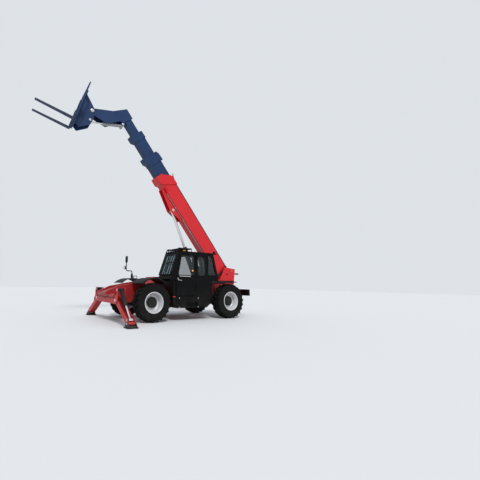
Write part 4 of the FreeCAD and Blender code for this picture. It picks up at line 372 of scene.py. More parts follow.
def plain(name, colour, roughness, metal=0.0):
    """A finish whose tone only varies a little: a soft noise moves its roughness."""
    material, tree, shader = new_material(name)
    where = add_node(tree, "TexCoord", {})["Object"]
    noise = add_node(tree, "TexNoise", {"Vector": where, "Scale": 14.0, "Detail": 5.0})["Fac"]
    rough = add_node(tree, "MapRange", {"Value": noise, "To Min": max(roughness - 0.04, 0.01),
                                        "To Max": roughness + 0.08})["Result"]
    feed(tree, shader, {"Base Color": (*colour, 1), "Metallic": metal, "Roughness": rough})
    return material


CHROME = plain("CylinderChrome", (0.78, 0.79, 0.8), 0.16, metal=1.0)
ROD_GREY = plain("LiftRodChrome", (0.7, 0.7, 0.69), 0.24, metal=0.9)
CLEAR = plain("LampGlass", (0.9, 0.92, 0.94), 0.08)
AMBER = plain("AmberLens", (0.9, 0.36, 0.04), 0.18)
LAMP_RED = plain("RedLens", (0.5, 0.02, 0.02), 0.18)
SILVERED = plain("MirrorGlass", (0.8, 0.82, 0.84), 0.05, metal=1.0)


def window_glass(name, colour, least):
    """Glass that lets the view through, least where it is seen at a slant."""
    material, tree, shader = new_material(name)
    slant = add_node(tree, "Fresnel", {"IOR": 1.55})["Fac"]
    alpha = add_node(tree, "MapRange", {"Value": slant, "To Min": least, "To Max": 0.95})["Result"]
    feed(tree, shader, {"Base Color": (*colour, 1), "Roughness": 0.04, "Alpha": alpha})
    return material


GLASS = window_glass("CabGlass", (0.07, 0.085, 0.09), 0.2)
# The windscreen's pale blue colour, kept mostly opaque, is a painted reflection of the sky.
SKY_REFLECTION_SCREEN = window_glass("ScreenGlassPaintedSkyReflection", (0.27, 0.38, 0.43), 0.66)


def paint_nodes():
    """Give each solid that stays in sight its finish. Columns: finish, node names."""
    table = [
        (RED, "chassis_frame rear_tower boom_outer"),
        (SHADED_NOSE_RED, "front_nose"),
        (NAVY, "boom_section_second boom_section_third boom_section_fourth boom_head carriage_coupler fork_frame"),
        (BLACK, "engine_tray rear_bumper counterweight"),
        (STEEL_BLACK, "axle_front axle_rear tow_hitch lift_barrel compensation_barrel compensation_rod "
                      "knuckle_front_left knuckle_front_right knuckle_rear_left knuckle_rear_right "
                      "stabiliser_barrel_left stabiliser_barrel_right"),
        (FORGED, "forks"),
        (HOSE, "tilt_barrel"),
        (CHROME, "tilt_rod stabiliser_rod_left stabiliser_rod_right"),
        (ROD_GREY, "lift_rod"),
        (ENGINE, "engine_block"),
        (SOFT_BLACK, "mudguards steering_column mirrors cab_guards lamps"),
        (FABRIC, "seat"),
        (RUBBER, "tyre_front_left tyre_front_right tyre_rear_left tyre_rear_right"),
        (RIM_SILVER, "rim_front_left rim_front_right rim_rear_left rim_rear_right"),
    ]
    for material, names in table:
        for name in names.split():
            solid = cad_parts[name]
            solid.data.materials.clear()
            solid.data.materials.append(material)


paint_nodes()


# Wheels

def tyre_surface(centre, side):
    """One tyre. Its section runs from bead to bead through the walls and the crown; the lugs
    stand out along the section's normal where a wave of turn and width, slanted like a
    chevron and shifted by half a pitch on the other side, passes a threshold."""
    lugs, steps_a_lug, lug_height = 22, 36, 0.027
    # Columns: distance from the tyre's middle, radius.
    keys = np.array([(-0.156, 0.3), (-0.176, 0.312), (-0.186, 0.334), (-0.199, 0.4), (-0.203, 0.47), (-0.198, 0.52),
                     (-0.184, 0.551), (-0.15, 0.56), (-0.075, 0.562), (0.0, 0.563)])
    keys = np.concatenate([keys, keys[-2::-1] * (-1, 1)])
    along = np.concatenate([[0], np.cumsum(np.linalg.norm(np.diff(keys, axis=0), axis=1))])
    s = np.linspace(0, along[-1], 61)
    y, r = np.interp(s, along, keys[:, 0]), np.interp(s, along, keys[:, 1])
    dy, dr = np.gradient(y, s), np.gradient(r, s)
    size = np.hypot(dy, dr)
    count = lugs * steps_a_lug
    t = np.linspace(0, TAU, count, endpoint=False)[:, None]

    def wave(way):
        reach = way * y[None] / 0.2
        phase = (lugs * t / TAU + (0.25 if way > 0 else 0.75) + 0.62 * np.clip(reach, 0, 1)) % 1.0
        body = np.clip((0.225 - np.abs(phase - 0.5)) / 0.06, 0, 1)
        return body * np.clip((reach + 0.12) / 0.06, 0, 1)
    lug = np.maximum(wave(1.0), wave(-1.0)) * np.clip((r[None] - 0.505) / 0.035, 0, 1)
    height = lug_height * (3 * lug ** 2 - 2 * lug ** 3)
    radius, width = r[None] + dy / size * height, y[None] - dr / size * height
    points = np.stack([centre[0] + radius * np.sin(t), centre[1] + side * width, centre[2] + radius * np.cos(t)], -1)
    form = Form()
    form.add(points, grid_faces(count, len(s), True, True))
    return form


def rim_surface(centre, side):
    """Rim: barrel with rolled lips, a deep disc, and its ring of nuts."""
    form = Form()
    lip = [(0.158, 0.299), (0.172, 0.307), (0.177, 0.317), (0.183, 0.322), (0.188, 0.319), (0.19, 0.308),
           (0.184, 0.297), (0.168, 0.29)]
    disc = [(0.125, 0.285), (0.112, 0.27), (0.024, 0.262), (-0.008, 0.246), (-0.019, 0.21), (-0.021, 0.139),
            (-0.038, 0.139), (-0.036, 0.212), (-0.03, 0.262), (-0.01, 0.282)]
    ring_profile(form, lip + disc + [(-y, r) for y, r in lip[::-1]], centre, 128, side)
    bolt_circle(form, centre - np.array([0, side * 0.021, 0]), 0.192, 10, side, 0.015, 0.02)
    return form


def hub_surface(centre, side):
    """Hub: drum, bolting flange and the planetary gear's stepped cap."""
    form = Form()
    ring_profile(form, [(-0.11, 0.001), (-0.11, 0.118), (-0.024, 0.12), (-0.02, 0.16), (0.03, 0.165), (0.049, 0.164),
                        (0.055, 0.157), (0.055, 0.116), (0.048, 0.11), (0.048, 0.078), (0.056, 0.072), (0.059, 0.058),
                        (0.059, 0.001)], centre, 72, side)
    bolt_circle(form, centre + np.array([0, side * 0.054, 0]), 0.137, 12, side, 0.01, 0.009)
    return form


def make_wheels():
    """All four wheels."""
    for end, ahead in (("front", WHEELBASE), ("rear", 0.0)):
        for name, side in ((f"{end}_left", 1), (f"{end}_right", -1)):
            centre = spot(ahead, side * HALF_TRACK, AXLE_HEIGHT)
            body = f"wheel_{name}_body"
            tyre_surface(centre, side).build(f"LuggedTyre_{name}", RUBBER, [f"tyre_{name}"], body, 40)
            rim_surface(centre, side).build(f"DeepRim_{name}", RIM_SILVER, [f"rim_{name}"], body, 50)
            hub_surface(centre, side).build(f"GearHub_{name}", STEEL_BLACK, [f"rim_{name}"], body, 40)


make_wheels()


# More shapes

def lathe(form, profile, origin, axis, segments=32, hollow=False):
    """Turn an (along, radius) profile about an axis from an origin. Flat caps close its ends, or
    a hollow one closes on its own start."""
    axis, first, second = about(axis)
    t = np.linspace(0, TAU, segments, endpoint=False)[:, None]
    turn = np.cos(t) * first + np.sin(t) * second
    along, radius = np.asarray(profile, float).T[..., None, None]
    rows = len(along)
    form.add(origin + along * axis + radius * turn[None], grid_faces(rows, segments, hollow, True),
             [] if hollow else end_caps(rows, segments))


def beside(a, b, level):
    """A side outline's point: a forward from the rear axle, b up, level to the left."""
    return spot(a, level, b)


def across(a, b, level):
    """A front outline's point: a to the left, b up, level forward from the rear axle."""
    return spot(level, a, b)


def along_boom(a, b, level):
    """A boom outline's point: a along the boom, b square to it, level to the left."""
    return boom_point(a, level, b)


def box(form, x, y, z, power=9.0, steps=8):
    """A soft edged box given by its ranges, in any order, from the rear axle's floor point."""
    low, high = np.sort(spot(x, y, z), axis=0)
    rounded_box(form, low, high, power, steps)


def stroke(form, points, radius, bend=0.05, sides=12):
    """A round bar through points given from the rear axle, whose corners are rounded by bend."""
    path = rounded(points, bend, 6) if len(points) > 2 else np.asarray(points, float)
    tube(form, spot(*path.T), radius, sides)


def plate(form, outline, place, low, high, holes=()):
    """A plate with openings: both faces are filled between the outline and its holes, and
    walls join the faces round every loop."""
    loops = [np.asarray(loop, float) for loop in (outline, *holes)]
    flat, count = np.concatenate(loops), sum(len(loop) for loop in loops)
    fill = tessellate_polygon([[(a, b, 0.0) for a, b in loop] for loop in loops])
    points = np.concatenate([place(*flat.T, level) for level in (low, high)])
    caps = [list(face) for face in fill] + [[i + count for i in face[::-1]] for face in fill]
    quads, start = [], 0
    for loop in loops:
        at = np.arange(len(loop))
        on = (at + 1) % len(loop)
        quads.append(np.stack([at, on, on + count, at + count], -1) + start)
        start += len(loop)
    form.add(points, np.concatenate(quads), caps)


def soften(piece, width=0.004):
    """Round every sharp edge of a piece a little."""
    bevel = piece.modifiers.new("SoftEdges", "BEVEL")
    bevel.width, bevel.segments, bevel.limit_method, bevel.angle_limit = width, 2, "ANGLE", radians(35)


def ring(corners, radius=0.03):
    """A closed outline with all its corners rounded."""
    corners = np.asarray(corners, float)
    middle = (corners[-1] + corners[0]) / 2
    return rounded(np.vstack([middle, corners, middle]), radius, 5)[:-1]


# Cab

def screen_x(z):
    """Windscreen's outside at a height."""
    return 2.46 - 0.3 * (z - 1.4) / 0.84


def nape_x(z):
    """Rear window's outside at a height."""
    return 0.525 + 0.22 * (z - 1.4) / 0.84


CAB_SIDE = [(0.8, 0.762), (2.29, 0.762), (2.29, 1.27), (2.46, 1.27), (2.46, 1.4), (2.16, 2.24), (0.745, 2.24),
            (0.525, 1.4), (0.525, 1.27), (0.8, 1.27)]
DOORWAY = [(1.48, 0.782), (2.256, 0.782), (2.256, 1.39), (2.137, 2.168), (1.48, 2.168)]
DOOR_PANE = ring([(1.545, 1.445), (2.193, 1.445), (2.063, 2.105), (1.545, 2.105)], 0.06)
POST_PANE = ring([(1.085, 1.445), (1.41, 1.445), (1.41, 2.105), (1.205, 2.105), (1.085, 1.93)], 0.05)
REAR_PANE = ring([(0.625, 1.46), (0.968, 1.46), (0.968, 2.125), (0.799, 2.125)], 0.05)
INNER_PANE = ring([(1.07, 1.46), (2.319, 1.46), (2.111, 2.125), (1.07, 2.125)], 0.05)
SCREEN_PANE = ring(rect(0.385, 1.075, 1.445, 2.125), 0.07)


def on_screen(a, b, level):
    """Points of the windscreen's plane: a across, b up, level inwards."""
    return spot(screen_x(b) - level, a, b)


def on_nape(a, b, level):
    """Points of the rear window's plane: a across, b up, level inwards."""
    return spot(nape_x(b) + level, a, b)


def make_cab():
    """The hollow cab: pierced side, screen and rear plates, floor, roof, ledges and skirts."""
    form = Form()
    plate(form, CAB_SIDE, beside, 1.108, 1.15, [DOORWAY, POST_PANE, REAR_PANE])
    plate(form, CAB_SIDE, beside, 0.31, 0.352, [INNER_PANE, REAR_PANE])
    inside = (0.35, 1.11)
    for place in (on_screen, on_nape):
        plate(form, rect(*inside, 1.4, 2.236), place, 0.0, 0.042, [SCREEN_PANE])
    hatch = ring(rect(1.0, 1.96, 0.46, 1.0), 0.05)
    plate(form, rect(0.76, 2.145, *inside), spot, 2.198, 2.239, [hatch])
    # Columns: ranges forward, across and up.
    for x, y, z in (((0.802, 2.288), inside, (0.764, 0.802)), ((2.248, 2.289), inside, (0.764, 1.27)),
                    ((2.25, 2.459), inside, (1.271, 1.312)), ((2.418, 2.459), inside, (1.272, 1.402)),
                    ((0.801, 0.842), inside, (0.764, 1.27)), ((0.526, 0.84), inside, (1.271, 1.312)),
                    ((0.526, 0.567), inside, (1.272, 1.402)), ((2.269, 2.385), (1.125, 1.15), (0.762, 1.291))):
        plate(form, rect(*x, *z), beside, *y)
    plate(form, ring(rect(0.565, 0.805, 2.203, 2.234), 0.012), beside, 0.312, 1.148)
    for z in (1.03, 2.03):
        stroke(form, [(1.486, 1.166, z + 0.003), (1.486, 1.166, z + 0.088)], 0.011)
        plate(form, rect(1.432, 1.486, z + 0.004, z + 0.087), beside, 1.15, 1.166)
    soften(form.build("CabBody", BLACK, ["cab_shell"]))
    glass, screen = Form(), Form()
    for pane, place, low in ((POST_PANE, beside, 1.126), (REAR_PANE, beside, 1.126), (REAR_PANE, beside, 0.328),
                             (INNER_PANE, beside, 0.328), (SCREEN_PANE, on_nape, 0.018), (hatch, spot, 2.216)):
        glaze(glass, pane, place, low)
    glass.build("CabPanes", GLASS, ["cab_glass"])
    glaze(screen, SCREEN_PANE, on_screen, 0.018)
    screen.build("Windscreen", SKY_REFLECTION_SCREEN, ["cab_glass"])


def grown(outline, reach):
    """An outline moved out from its middle by a reach along each axis."""
    middle, half = middle_and_half(outline)
    return middle + (outline - middle) * (1 + reach / half)


def glaze(form, pane, place, low):
    """Glass 6 mm thick that reaches 6 mm into the frame round its opening."""
    plate(form, grown(pane, 0.006), place, low, low + 0.006)


def make_door():
    """The door on its rear hinges, with its pane, seals, handle and the signal lamp on its stalk."""
    form = Form()
    edge = [(1.49, 0.792), (2.247, 0.792), (2.247, 1.39), (2.128, 2.158), (1.49, 2.158)]
    plate(form, ring(edge, 0.025), beside, 1.11, 1.149, [DOOR_PANE])
    for z in (0.942, 1.942):
        stroke(form, [(1.486, 1.166, z), (1.486, 1.166, z + 0.086)], 0.011)
        plate(form, rect(1.486, 1.54, z, z + 0.086), beside, 1.149, 1.166)
    soften(form.build("CabDoor", BLACK, ["door_panel"], "door_body"), 0.003)
    glass = Form()
    glaze(glass, DOOR_PANE, beside, 1.126)
    glass.build("DoorPane", GLASS, ["door_glass"], "door_body")
    seals, bright, lens, stalk = Form(), Form(), Form(), Form()
    tube(seals, beside(*DOOR_PANE.T, 1.1505), 0.008, 8, True)
    seals.build("DoorPaneSeal", RUBBER, body="door_body")
    grip = [(2.06, 1.148, 1.27), (2.07, 1.176, 1.272), (2.185, 1.176, 1.292), (2.195, 1.148, 1.294)]
    stroke(bright, grip, 0.01, 0.02)
    lathe(bright, [(0, 0.02), (0.006, 0.02), (0.009, 0.014)], spot(2.2, 1.148, 1.335), (0, 1, 0), 24)
    slab(bright, ring(rect(1.7, 2.13, 1.4, 1.424), 0.008), beside, 1.1475, 1.154, 0.0015)
    bright.build("DoorHandleAndStrip", BOLT, body="door_body")
    stroke(stalk, [(1.64, 1.156, 1.395), (1.64, 1.166, 1.43), (1.64, 1.166, 1.58)], 0.007, 0.02)
    stalk.build("DoorSignalStalk", SOFT_BLACK, body="door_body")
    box(lens, (1.612, 1.668), (1.152, 1.18), (1.572, 1.628), 5.0, 10)
    lens.build("DoorSignalLens", AMBER, body="door_body")


def make_side_box():
    """The box under the cab, drawn in at both ends below, with its step, skirt, bolts and marker."""
    form, bright, red, black = Form(), Form(), Form(), Form()
    face = [(0.884, 0.52), (1.04, 0.402), (2.235, 0.402), (2.29, 0.457), (2.29, 0.758), (0.802, 0.758)]
    step = ring(rect(1.43, 1.85, 0.445, 0.575), 0.02)
    plate(form, face, beside, 0.332, 1.04)
    plate(form, face, beside, 1.038, 1.149, [step])
    plate(form, rect(1.045, 2.17, 0.45, 0.65), beside, 0.296, 0.334)
    plate(form, rect(2.269, 2.385, 0.45, 0.758), beside, 1.125, 1.149)
    soften(form.build("SideBox", BLACK, ["side_box"]), 0.006)
    for low in np.linspace(0.462, 0.558, 4):
        box(black, (1.432, 1.848), (1.05, 1.146), (low - 0.004, low + 0.004))
    black.build("StepTreads", STEEL_BLACK)
    bolts(bright, spot((2.145, 1.402, 2.145, 1.402), 1.149, (0.718, 0.709, 0.43, 0.43)), (0, 1, 0), 0.017, 0.012)
    bright.build("SideBoxBolts", BOLT)
    box(red, (2.3, 2.384), (1.148, 1.158), (0.744, 0.774), 6.0, 6)
    red.build("SideMarker", LAMP_RED)


def make_cab_trim():
    """Rubber round the screen and the fixed side panes, and the wiper on its arm."""
    black, rubber = Form(), Form()
    tube(rubber, on_screen(*SCREEN_PANE.T, -0.001), 0.009, 8, True)
    for pane in (POST_PANE, REAR_PANE):
        tube(rubber, beside(*pane.T, 1.1505), 0.008, 8, True)
    rubber.build("PaneSeals", RUBBER)
    z = np.array([1.425, 1.47, 1.86])
    stroke(black, np.stack([screen_x(z) + (0.014, 0.022, 0.016), (0.73, 0.726, 0.66), z], -1), 0.006, 0.02, 8)
    z = np.array([1.56, 1.86, 2.06])
    stroke(black, np.stack([screen_x(z) + 0.006, (0.668, 0.658, 0.652), z], -1), 0.007, 0.02, 8)
    lathe(black, [(0, 0.022), (0.014, 0.022), (0.02, 0.012)], spot(screen_x(1.425) - 0.002, 0.73, 1.425),
          (1, 0, 0.3), 20)
    black.build("Wiper", SOFT_BLACK)


def make_guards():
    """Six round bars up the windscreen and back over the roof, their rails, plates and feet."""
    form = Form()
    for y in np.linspace(0.37, 1.09, 6):
        stroke(form, [(screen_x(1.452) + 0.045, y, 1.452), (screen_x(2.33) + 0.045, y, 2.33), (1.622, y, 2.33)],
               0.0175, 0.1)
    for x, z in ((screen_x(1.46) + 0.024, 1.46), (screen_x(1.86) + 0.034, 1.86), (screen_x(2.229) + 0.024, 2.229),
                 (1.631, 2.33), (1.89, 2.33)):
        stroke(form, [(x, 0.359, z), (x, 1.101, z)], 0.014)
    cheek = rounded([(1.621, 2.33), (1.621, 2.354), (2.15, 2.354), (2.185, 2.32), (2.165, 2.306), (1.621, 2.306),
                     (1.621, 2.33)], 0.012, 4)[:-1]
    for y in (0.37, 1.09):
        slab(form, cheek, beside, y - 0.011, y + 0.011, 0.003)
        for x in (1.632, 2.12):
            stroke(form, [(x, y, 2.24), (x, y, 2.33)], 0.01)
            box(form, (x - 0.03, x + 0.03), (y - 0.02, y + 0.02), (2.24, 2.247))
    form.build("ScreenAndRoofGuard", SOFT_BLACK, ["cab_guards"], slot="dark_paint")


def make_lamps():
    """Work lamps under the roof guard, a rear one, the road lamp and the amber lamp."""
    cases, lenses, amber = Form(), Form(), Form()
    # Columns: place of the case's back, radius, direction it shines.
    for (x, y, z), r, way in (((1.985, 0.49, 2.276), 0.036, 1), ((1.985, 0.85, 2.276), 0.036, 1),
                              ((0.646, 1.03, 2.283), 0.043, -1), ((3.1406, -HALF_TRACK, 1.72), 0.062, 1)):
        origin = spot(x, y, z)
        lathe(cases, [(0, r * 0.45), (0.006, r * 0.6), (0.03, r * 0.92), (0.04, r), (0.066, r), (0.07, r * 0.97),
                      (0.07, r * 0.9), (0.06, r * 0.88)], origin, (way, 0, 0), 36)
        lathe(lenses, [(0.058, r * 0.87), (0.062, r * 0.86), (0.067, r * 0.6), (0.069, r * 0.02)], origin,
              (way, 0, 0), 36)
        if z > 2:
            foot = x + way * 0.035
            box(cases, (foot - 0.01, foot + 0.01), (y - 0.018, y + 0.018), (2.238, z - r * 0.8))
    lathe(cases, [(0, 0.052), (0.01, 0.052), (0.014, 0.046), (0.016, 0.02)], spot(1.89, 1.03, 2.24), (0, 0, 1))
    box(cases, (1.85, 1.93), (1.03, 1.125), (2.24, 2.249))
    lathe(amber, [(0.014, 0.043), (0.03, 0.044), (0.048, 0.04), (0.058, 0.026), (0.062, 0.002)],
          spot(1.89, 1.03, 2.24), (0, 0, 1))
    cases.build("LampCases", SOFT_BLACK, ["lamps"])
    lenses.build("LampLenses", CLEAR, ["lamps"])
    amber.build("AmberLampDome", AMBER, ["lamps"])


def make_mirror():
    """The mirror on its bent stalk over the right front wheel: shell with a rim, and its glass."""
    form, glass, hose, y = Form(), Form(), Form(), -HALF_TRACK
    stroke(form, [(2.8943, y, 1.318), (2.8943, y, 1.61), (3.13, y, 1.61), (3.13, y, 1.93)], 0.017, 0.07)
    box(form, (2.866, 2.922), (y - 0.026, y + 0.026), (1.312, 1.333))
    box(form, (3.11, 3.15), (-1.09, -0.92), (1.905, 2.155), 5.0, 14)
    for z in (1.985, 2.075):
        lathe(form, [(0, 0.016), (0.01, 0.016), (0.014, 0.01)], spot(3.146, y, z), (1, 0, 0), 20)
    box(glass, (3.1065, 3.116), (-1.078, -0.932), (1.918, 2.142), 7.0, 10)
    form.build("MirrorOnStalk", SOFT_BLACK, ["mirrors"])
    glass.build("MirrorGlass", SILVERED, ["mirrors"])
    stroke(hose, [(2.93, -0.985, 1.318), (2.935, -0.985, 1.5), (2.99, -0.72, 1.5), (2.99, -0.7, 1.33)], 0.013, 0.08)
    stroke(hose, [(2.86, -0.95, 1.3), (2.86, -0.94, 1.42), (2.86, -0.62, 1.42), (2.86, -0.6, 1.3)], 0.011, 0.06)
    hose.build("LampHoseLoops", SOFT_BLACK)


def inflate(piece, reach, frames=20):
    """Blow a closed pad up as cloth, let no point move further than reach, and smooth it once."""
    mesh = piece.data
    before = np.empty(len(mesh.vertices) * 3)
    mesh.vertices.foreach_get("co", before)
    cloth = piece.modifiers.new("Fill", "CLOTH")
    cloth.settings.use_pressure = True
    cloth.settings.uniform_pressure_force = 4.0
    cloth.settings.effector_weights.gravity = 0.0
    for step in range(1, frames + 1):
        bpy.context.scene.frame_set(step)
    seen = piece.evaluated_get(bpy.context.evaluated_depsgraph_get()).to_mesh()
    after = np.empty_like(before)
    seen.vertices.foreach_get("co", after)
    piece.modifiers.remove(cloth)
    bpy.context.scene.frame_set(1)
    moved = (after - before).reshape(-1, 3)
    length = np.linalg.norm(moved, axis=1)[:, None]
    moved *= np.minimum(1.0, reach / np.maximum(length, 1e-9))
    mesh.vertices.foreach_set("co", (before.reshape(-1, 3) + moved).ravel())
    mesh.update()
    smooth = piece.modifiers.new("Soft", "SUBSURF")
    smooth.levels = smooth.render_levels = 1


def cushion(name, place, length, width, thick, channels, reach=0.01):
    """A crowned pad: the section thins to its edges, its sides pull in between the corners and
    sewn channels are pressed in at given shares of its length; place(a, b, c) sets it."""
    a = np.linspace(-1, 1, 41)[:, None]
    b = np.linspace(-1, 1, 33)[None]
    edge = (1 - np.abs(a) ** 6) ** 0.5 * (1 - np.abs(b) ** 6) ** 0.5
    dip = sum(np.exp(-((a - share) / 0.035) ** 2) for share in channels) if channels else 0 * a
    sides = sum(np.exp(-((b - share) / 0.045) ** 2) for share in (-0.62, 0.62))
    crown = 0.62 + 0.38 * (1 - a ** 2) * (1 - b ** 2)
    height = thick * edge * crown * (1 - 0.2 * dip) * (1 - 0.14 * sides)
    x = a * length / 2 * (1 - 0.035 * (1 - b ** 2))
    y = b * width / 2 * (1 - 0.045 * (1 - a ** 2))
    faces, form = grid_faces(*height.shape), Form()
    form.add(place(x, y, height), faces)
    form.add(place(x, y, -0.12 * thick * edge), faces[:, ::-1])
    piece = form.build(name, FABRIC, ["seat"], crease=180.0)
    set_outward(piece.data, 0.0004)
    inflate(piece, reach)


CHAIR_MIDDLE = 0.73


def make_seat():
    """Driver's chair: sprung base, shell, arm rests, and crowned fabric pads to sit and lean on."""
    def level(a, b, c):
        return spot(1.262 + a, CHAIR_MIDDLE + b, 1.165 + c)

    def upright(a, b, c):
        c_lean, s_lean = cos(radians(9)), sin(radians(9))
        return spot(1.085 - a * s_lean + c * c_lean, CHAIR_MIDDLE + b, 1.505 + a * c_lean + c * s_lean)
    cushion("LowerCushion", level, 0.44, 0.45, 0.085, (-0.45, 0.0, 0.45))
    cushion("UpperCushion", upright, 0.5, 0.43, 0.075, (-0.4, 0.0, 0.4))
    base = Form()
    box(base, (1.045, 1.475), (0.505, 0.955), (1.12, 1.16), 8.0, 12)
    for z, reach in ((0.99, 0.115), (1.035, 0.135), (1.08, 0.115)):
        y = (CHAIR_MIDDLE - reach, CHAIR_MIDDLE + reach)
        box(base, (1.25 - reach, 1.25 + reach), y, (z - 0.02, z + 0.022), 4.0, 10)
    box(base, (1.14, 1.36), (0.62, 0.84), (0.803, 0.975), 8.0, 10)
    back = [(1.06, 1.3), (1.02, 1.79), (1.038, 1.79), (1.078, 1.3), (1.078, 1.18), (1.06, 1.18), (1.06, 1.3)]
    slab(base, rounded(back, 0.01, 3)[:-1], beside, 0.53, 0.93)
    for y in (0.5, 0.96):
        stroke(base, [(1.09, y, 1.395), (1.13, y, 1.4), (1.4, y, 1.4)], 0.02, 0.02)
    base.build("ChairBaseAndShell", SOFT_BLACK, ["seat"])


def make_controls():
    """Steering wheel square to its column, the dashboard, and a lever on its console."""
    form, lean = Form(), radians(25)
    axis, first = np.array([-sin(lean), 0.0, cos(lean)]), np.array([cos(lean), 0.0, sin(lean)])
    foot = np.array([2.08, CHAIR_MIDDLE, 0.803])
    head = foot + (-0.255, 0.0, 0.547)
    lathe(form, [(0, 0.05), (0.02, 0.05), (0.06, 0.034), (0.56, 0.034), (0.59, 0.042), (0.612, 0.034), (0.62, 0.01)],
          spot(*foot), axis, 28)
    t = np.linspace(0, TAU, 64, endpoint=False)[:, None]
    wheel = head + axis * 0.035 + 0.162 * (np.cos(t) * first + np.sin(t) * ACROSS)
    tube(form, spot(*wheel.T), 0.013, 14, True)
    for turn in (0.0, TAU / 3, 2 * TAU / 3):
        spoke = np.linspace(0.02, 0.155, 4)[:, None] * (cos(turn) * first + sin(turn) * ACROSS)
        path = head + axis * np.array([[0.022], [0.02], [0.026], [0.033]]) + spoke
        tube(form, spot(*path.T), 0.009, 10)
    box(form, (2.12, 2.225), (0.42, 1.04), (1.13, 1.27), 6.0, 12)
    box(form, (1.98, 2.15), (0.61, 0.85), (1.23, 1.3), 5.0, 10)
    box(form, (1.16, 1.48), (0.39, 0.47), (1.16, 1.24), 6.0, 10)
    stroke(form, [(1.4, 0.43, 1.235), (1.415, 0.43, 1.33)], 0.01)
    lathe(form, [(0, 0.012), (0.015, 0.024), (0.045, 0.028), (0.068, 0.02), (0.076, 0.004)],
          spot(1.413, 0.43, 1.315), (0.15, 0, 1), 20)
    for side in (-1, 1):
        stroke(form, [(1.85, CHAIR_MIDDLE + side * 0.03, 1.345), (1.87, CHAIR_MIDDLE + side * 0.19, 1.365)], 0.006,
               sides=8)
    form.build("SteeringWheelAndDash", SOFT_BLACK, ["steering_column"])


# Body

def make_mudguards():
    """Curved mudguards: a thin section with a rolled outer lip carried round an arc."""
    form = Form()
    # Columns: distance from the machine's middle, radius of the curve.
    section = np.array([(0.402, 0.64), (0.402, 0.65), (0.78, 0.6505), (1.196, 0.65), (1.206, 0.647), (1.209, 0.638),
                        (1.209, 0.612), (1.203, 0.612), (1.202, 0.636), (1.195, 0.641), (0.78, 0.6415)])
    y, r = section.T[:, None]
    # Columns: wheel's place, height of the curve's middle, first and last angle, bracket's inner side and foot.
    for ahead, centre, start, end, inner, foot in ((WHEELBASE, 0.69, -42, 42, 0.4005, 1.172),
                                                   (0.0, 0.65, -17, 34, 0.3205, 1.27)):
        for side in (1, -1):
            t = np.radians(np.linspace(start, end, 41))[:, None]
            points = spot(ahead + r * np.sin(t), side * y + 0 * t, centre + r * np.cos(t))
            form.add(points, grid_faces(41, len(section), False, True), end_caps(41, len(section)))
            box(form, (ahead - 0.026, ahead + 0.026), (side * inner, side * 0.425), (foot, centre + 0.641))
            for x in (ahead - 0.16, ahead + 0.16):
                top = centre + sqrt(0.64 ** 2 - 0.16 ** 2) - 0.004
                stroke(form, [(x, side * 0.42, top), (x, side * 1.19, top)], 0.009)
    form.build("CurvedMudguards", SOFT_BLACK, ["mudguards"])


def make_hood():
    """The engine hood: side pierced by two sets of louvres, chamfered top, ends, slats and latches."""
    form, slats, bright = Form(), Form(), Form()
    slots = []
    for base in 1.225 - 0.0528 * np.arange(6):
        for start in (0.902, 1.772):
            slots.append(rect(start, start + 0.416, base, base + 0.022))
            slat = [(-1.1285, base + 0.002), (-1.1285, base + 0.006), (-1.1105, base + 0.022), (-1.1105, base + 0.016)]
            slab(slats, slat, across, start - 0.002, start + 0.418, 0.0008)
    plate(form, rect(0.8, 2.29, 0.81, 1.304), beside, -1.13, -1.112, slots)
    top = [(-1.13, 1.3), (-1.03, 1.4), (-0.352, 1.4), (-0.352, 1.382), (-1.022, 1.382), (-1.112, 1.292)]
    plate(form, top, across, 0.801, 2.289)
    end = [(-1.128, 0.81), (-0.36, 0.81), (-0.36, 1.396), (-1.028, 1.396), (-1.128, 1.298)]
    for start in (0.801, 2.271):
        plate(form, end, across, start, start + 0.018)
    soften(form.build("EngineHood", RED, ["engine_hood"], "hood_body"))
    for x in (1.02, 2.07):
        box(slats, (x - 0.05, x + 0.05), (-1.146, -1.129), (0.838, 0.872), 5.0, 8)
    stroke(slats, [(1.4, -1.128, 1.275), (1.4, -1.16, 1.275), (1.69, -1.16, 1.275), (1.69, -1.128, 1.275)], 0.01, 0.03)
    stroke(slats, [(0.9, -0.341, 1.39), (2.19, -0.341, 1.39)], 0.01)
    slats.build("HoodSlatsAndLatches", SOFT_BLACK, body="hood_body")
    bolts(bright, spot(np.linspace(0.86, 2.23, 7), -1.13, 0.77), (0, -1, 0), 0.011, 0.008)
    bright.build("TrayBolts", BOLT)


def make_tower_trim():
    """Pivot caps' bolts, the dark ledges and stubs at the tower, and the tail's lamps."""
    bright, dark, red, amber = Form(), Form(), Form(), Form()
    for side in (1, -1):
        bolt_circle(bright, spot(-0.82, side * 0.335, 1.7), 0.047, 6, side, 0.01, 0.009)
        bolts(bright, spot((-0.9, -0.75, -0.45, -0.12), side * 0.32, 0.92), (0, side, 0), 0.017, 0.012)
        box(dark, (-1.0345, -0.152), (side * 0.3195, side * 0.4005), (1.2375, 1.2685), 16.0, 8)
        lathe(dark, [(0, 0.026), (0.004, 0.0275), (0.17, 0.0275), (0.178, 0.02)], spot(-1.03, side * 0.3075, 1.58),
              (-1, 0, 0), 28)
        lathe(dark, [(0, 0.016), (0.004, 0.02), (0.055, 0.02), (0.06, 0.01)], spot(-0.6, side * 0.321, 1.56),
              (0, side, 0), 24)
        for low, high, lamp in ((0.6, 0.76, amber), (0.765, 0.985, red)):
            box(lamp, (-1.142, -1.126), (side * low, side * high), (0.835, 0.915), 5.0, 10)
    bright.build("TowerBolts", BOLT)
    dark.build("TowerLedges", STEEL_BLACK)
    red.build("TailLampsRed", LAMP_RED)
    amber.build("TailLampsAmber", AMBER)


